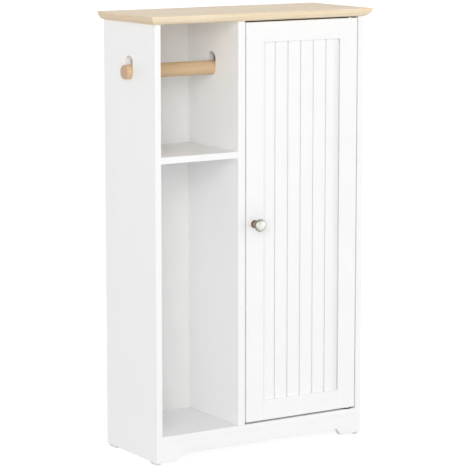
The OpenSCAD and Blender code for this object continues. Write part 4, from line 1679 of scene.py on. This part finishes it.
@dataclass
class FloorGlides:
    """The moulded glides: a stepped bar with round ends, and a dished hole for its nail.

    Attributes:
        step_mm: Height of the narrower lower step.
        step_in_mm: How far that step is drawn in.
        ease_mm: Radius of the lower rim.
        dish_d_mm: Diameter of the recess for the nail's head.
        dish_mm: Its depth.
        nail_d_mm: Diameter of the hole.
        ease_turns: Where the lower rim's corners lie, in radians round its rounding.
    """

    step_mm: float = 1.2
    step_in_mm: float = 0.8
    ease_mm: float = 0.5
    dish_d_mm: float = 6.0
    dish_mm: float = 1.6
    nail_d_mm: float = 2.1
    ease_turns: tuple[float, ...] = (0.0, 0.5, 1.0, 1.5)
    steps: int = 48

    def outline(self, long: float, wide: float, inset: float = 0.0) -> Outline:
        """Works out a bar with round ends along Y, drawn in by an inset.

        Args:
            long: The bar's length; as long as it is wide, it is a circle.
            wide: Its width.
            inset: How far it is drawn in.

        Returns:
            The points.
        """
        radius = wide / 2
        reach = long / 2 - radius
        points = []
        for i in range(self.steps):
            turn = math.tau * (i + 0.5) / self.steps
            shift = math.copysign(reach, math.sin(turn))
            points.append(((radius - inset) * math.cos(turn), (radius - inset) * math.sin(turn) + shift))
        return points

    def build(self, tree: HardwareTree) -> Piece:
        """Builds the glides.

        Args:
            tree: The tree that sets them out.

        Returns:
            Their object.
        """
        boxes = loose_boxes("floor_glides")
        size = boxes[0][1] - boxes[0][0]
        step, inset, ease, deep = [
            length * MM for length in (self.step_mm, self.step_in_mm, self.ease_mm, self.dish_mm)
        ]
        rounded = [
            (inset + ease * (1 - math.cos(t)), ease * (1 - math.sin(t))) for t in self.ease_turns
        ]
        levels = [(0.0, size.z), (0.0, step), (inset, step)] + rounded
        dish, nail = [self.outline(d * MM, d * MM) for d in (self.dish_d_mm, self.nail_d_mm)]
        rings = [(self.outline(size.y, size.x, drawn_in), height) for drawn_in, height in levels]
        rings += [(dish, 0.0), (dish, deep), (nail, deep), (nail, size.z)]
        made = bmesh.new()
        loops = [[made.verts.new((*point, height)) for point in points] for points, height in rings]
        for outer, inner in zip(loops, loops[1:] + loops[:1]):
            for i in range(self.steps):
                made.faces.new((outer[i - 1], outer[i], inner[i], inner[i - 1]))
        bmesh.ops.recalc_face_normals(made, faces=made.faces[:])
        seats = [
            Seat(Vector(((low.x + high.x) / 2, (low.y + high.y) / 2, low.z)), Vector((0, 0, 1)))
            for low, high in boxes
        ]
        return tree.set_out("floor_glides_moulded", "floor_glides", to_mesh(made), seats, GLIDE_PLASTIC)


def is_long(edge: Edge) -> bool:
    """Tells the long straight edges of a fitting from the short ones round its bores."""
    return edge.calc_length() > LONG_EDGE


class Fittings:
    """The small hardware: screws, pins and glides on their seats, and eased plates and housings."""

    def build(self) -> list[Piece]:
        """Builds the hardware.

        Returns:
            Its objects.
        """
        rear, down, right = (0.0, 1.0, 0.0), (0.0, 0.0, -1.0), (1.0, 0.0, 0.0)
        screws = [
            Screws("back_panel_screws", ScrewHead.PAN, rear, 2.5),
            Screws("divider_screws", ScrewHead.FLAT, down, 5.0, pitch_mm=2.2),
            Screws("catch_screws", ScrewHead.PAN, right, 3.0),
            Screws("strike_screws", ScrewHead.FLAT, rear, 2.5, Body.DOOR),
            Screws("wall_bracket_screws", ScrewHead.FLAT, down, 3.5),
            Screws("knob_screw", ScrewHead.PAN, rear, 4.0, Body.DOOR, pitch_mm=0.7),
        ]
        eased = [
            Board("catch_housing", ease_mm=0.5, also=is_long, finish=CATCH_PLASTIC, shortest_mm=1.0),
            Board("wall_bracket", ease_mm=0.3, also=is_long, finish=ZINC_STEEL, shortest_mm=1.0),
            Board("strike_plate", Body.DOOR, 0.25, finish=ZINC_STEEL, shortest_mm=1.0),
        ]
        tree = HardwareTree()
        pieces = [hardware.build(tree) for hardware in (*screws, ShelfPins(), FloorGlides())]
        return pieces + [board.build() for board in eased]


def repaint_small_parts() -> None:
    """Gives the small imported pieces, whose shapes are right, their finishes."""
    plan: dict[Finish, Iterable[str]] = {
        CAST_ZINC: ("cam_locks",),
        DOWEL_BEECH: ("carcass_dowels", "door_dowels"),
        ZINC_STEEL: ("cam_bolts", "glide_nails", "upper_pivot_pin", "lower_pivot_pin"),
        BUSH_NYLON: ("upper_pivot_bush", "lower_pivot_bush"),
        FERRITE: ("catch_magnet",),
    }
    for finish, nodes in plan.items():
        for node in nodes:
            repaint(node, finish)


@dataclass(frozen=True)
class Softbox:
    """A square lamp that faces the middle of the cabinet.

    Attributes:
        title: Its name.
        turn_deg: Its bearing from the cabinet: 0 is straight in front, and 90 is on the left.
        far: How far away it stands.
        high: Its height over the floor.
        size: Length of its side.
        power: Its power in watts.
        aim: The point that it faces.
    """

    title: str
    turn_deg: float
    far: float
    high: float
    size: float
    power: float
    aim: Triple = (0.0, 0.0, 0.42)

    def hang(self) -> None:
        """Hangs the lamp."""
        turn = math.radians(self.turn_deg)
        light = bpy.data.lights.new(self.title, "AREA")
        light.shape = "SQUARE"
        light.size = self.size
        light.energy = self.power
        lamp = new_object(self.title, light)
        lamp.location = (-self.far * math.sin(turn), -self.far * math.cos(turn), self.high)
        lamp.rotation_euler = (Vector(self.aim) - lamp.location).to_track_quat("-Z", "Y").to_euler()


@dataclass
class Studio:
    """A plain pale floor, a white surround, soft light and the camera at the photograph's angle.

    Attributes:
        eye: The camera's place.
        turn_deg: How far the camera turns from +Y towards +X.
        tilt_deg: How far it looks down.
        lens_mm: Its focal length on the sensor's width.
        ambient: The level that the surround lights the cabinet with, where 1 is white.
        lamps: The key lamp, in front on the left, and two weaker ones for the other sides.
        floor_tone: The floor, as it throws light back on the cabinet.
        paper_tone: The floor, as it shows.
        paper_glow: How far it is lifted towards white, so that only a faint shadow stays.
    """

    eye: Triple = (-2.2765, -3.5814, 1.0872)
    turn_deg: float = 32.355
    tilt_deg: float = 9.274
    lens_mm: float = 176.76
    sensor_mm: float = 36.0
    ambient: float = 0.585
    lamps: tuple[Softbox, ...] = (
        Softbox("key_softbox", 38.0, 5.5, 1.8, 3.2, 138.0),
        Softbox("right_softbox", -62.0, 4.2, 0.8, 2.0, 36.5),
        Softbox("rear_softbox", 179.0, 4.2, 1.2, 2.4, 45.0),
    )
    floor_size: float = 60.0
    floor_tone: str = "#E6E6E6"
    paper_tone: str = "#C4C4C4"
    paper_glow: float = 0.8
    see_far: float = 100.0

    def build(self) -> None:
        """Sets the whole studio up."""
        self.set_surround()
        self.lay_floor()
        for lamp in self.lamps:
            lamp.hang()
        self.set_camera()
        bpy.context.scene.view_settings.view_transform = "Standard"

    @staticmethod
    def seen_rays(graph: Graph) -> Socket:
        """Adds a test for the rays that show the surround: seen, mirrored or through glass."""
        path = graph.node("ShaderNodeLightPath").outputs
        either = graph.math("MAXIMUM", path["Is Camera Ray"], path["Is Glossy Ray"])
        return graph.math("MAXIMUM", either, path["Is Transmission Ray"])

    def set_surround(self) -> None:
        """Makes the world: white where it shows, a plain level where it lights."""
        world = bpy.data.worlds.new("white_surround")
        graph = Graph.of(world)
        level = graph.out("ShaderNodeMapRange", {
            "Value": self.seen_rays(graph), "To Min": self.ambient, "To Max": 1.0,
        })
        shown = graph.out("ShaderNodeBackground", {"Color": WHITE, "Strength": level})
        graph.node("ShaderNodeOutputWorld", {"Surface": shown})
        bpy.context.scene.world = world

    def lay_floor(self) -> None:
        """Lays the floor: white paper where it shows, with the object's soft shadow on it."""
        made = bmesh.new()
        bmesh.ops.create_grid(made, x_segments=1, y_segments=1, size=self.floor_size / 2)
        mesh = to_mesh(made)
        paper = bpy.data.materials.new("white_studio_paper")
        graph = Graph.of(paper)
        lit = graph.out("ShaderNodeBsdfDiffuse", {"Color": linear(self.floor_tone)})
        faint = graph.out("ShaderNodeBsdfDiffuse", {"Color": linear(self.paper_tone)})
        glow = graph.out("ShaderNodeEmission", {"Color": WHITE, "Strength": self.paper_glow})
        seen = graph.out("ShaderNodeAddShader", {0: faint, 1: glow})
        surface = graph.out("ShaderNodeMixShader", {0: self.seen_rays(graph), 1: lit, 2: seen})
        graph.node("ShaderNodeOutputMaterial", {"Surface": surface})
        mesh.materials.append(paper)
        floor = new_object("studio_floor", mesh)

    def set_camera(self) -> None:
        """Sets the camera where the photograph was taken from."""
        lens = bpy.data.cameras.new("camera")
        lens.sensor_width = self.sensor_mm
        lens.lens = self.lens_mm
        lens.clip_end = self.see_far
        camera = new_object("camera", lens)
        turn, tilt = math.radians(self.turn_deg), math.radians(self.tilt_deg)
        level = math.cos(tilt)
        ahead = Vector((math.sin(turn) * level, math.cos(turn) * level, -math.sin(tilt)))
        camera.location = self.eye
        camera.rotation_euler = ahead.to_track_quat("-Z", "Y").to_euler()
        bpy.context.scene.camera = camera


def main() -> None:
    """Builds the cabinet's sub-assemblies in order, then the studio."""
    logging.basicConfig(level=logging.INFO, format="%(message)s")
    for part in (Carcass(), MouldedTop(), DoorFrame(), Knob(), RollRod(), Fittings()):
        part.build()
    repaint_small_parts()
    Studio().build()


if __name__ == "__main__":
    main()
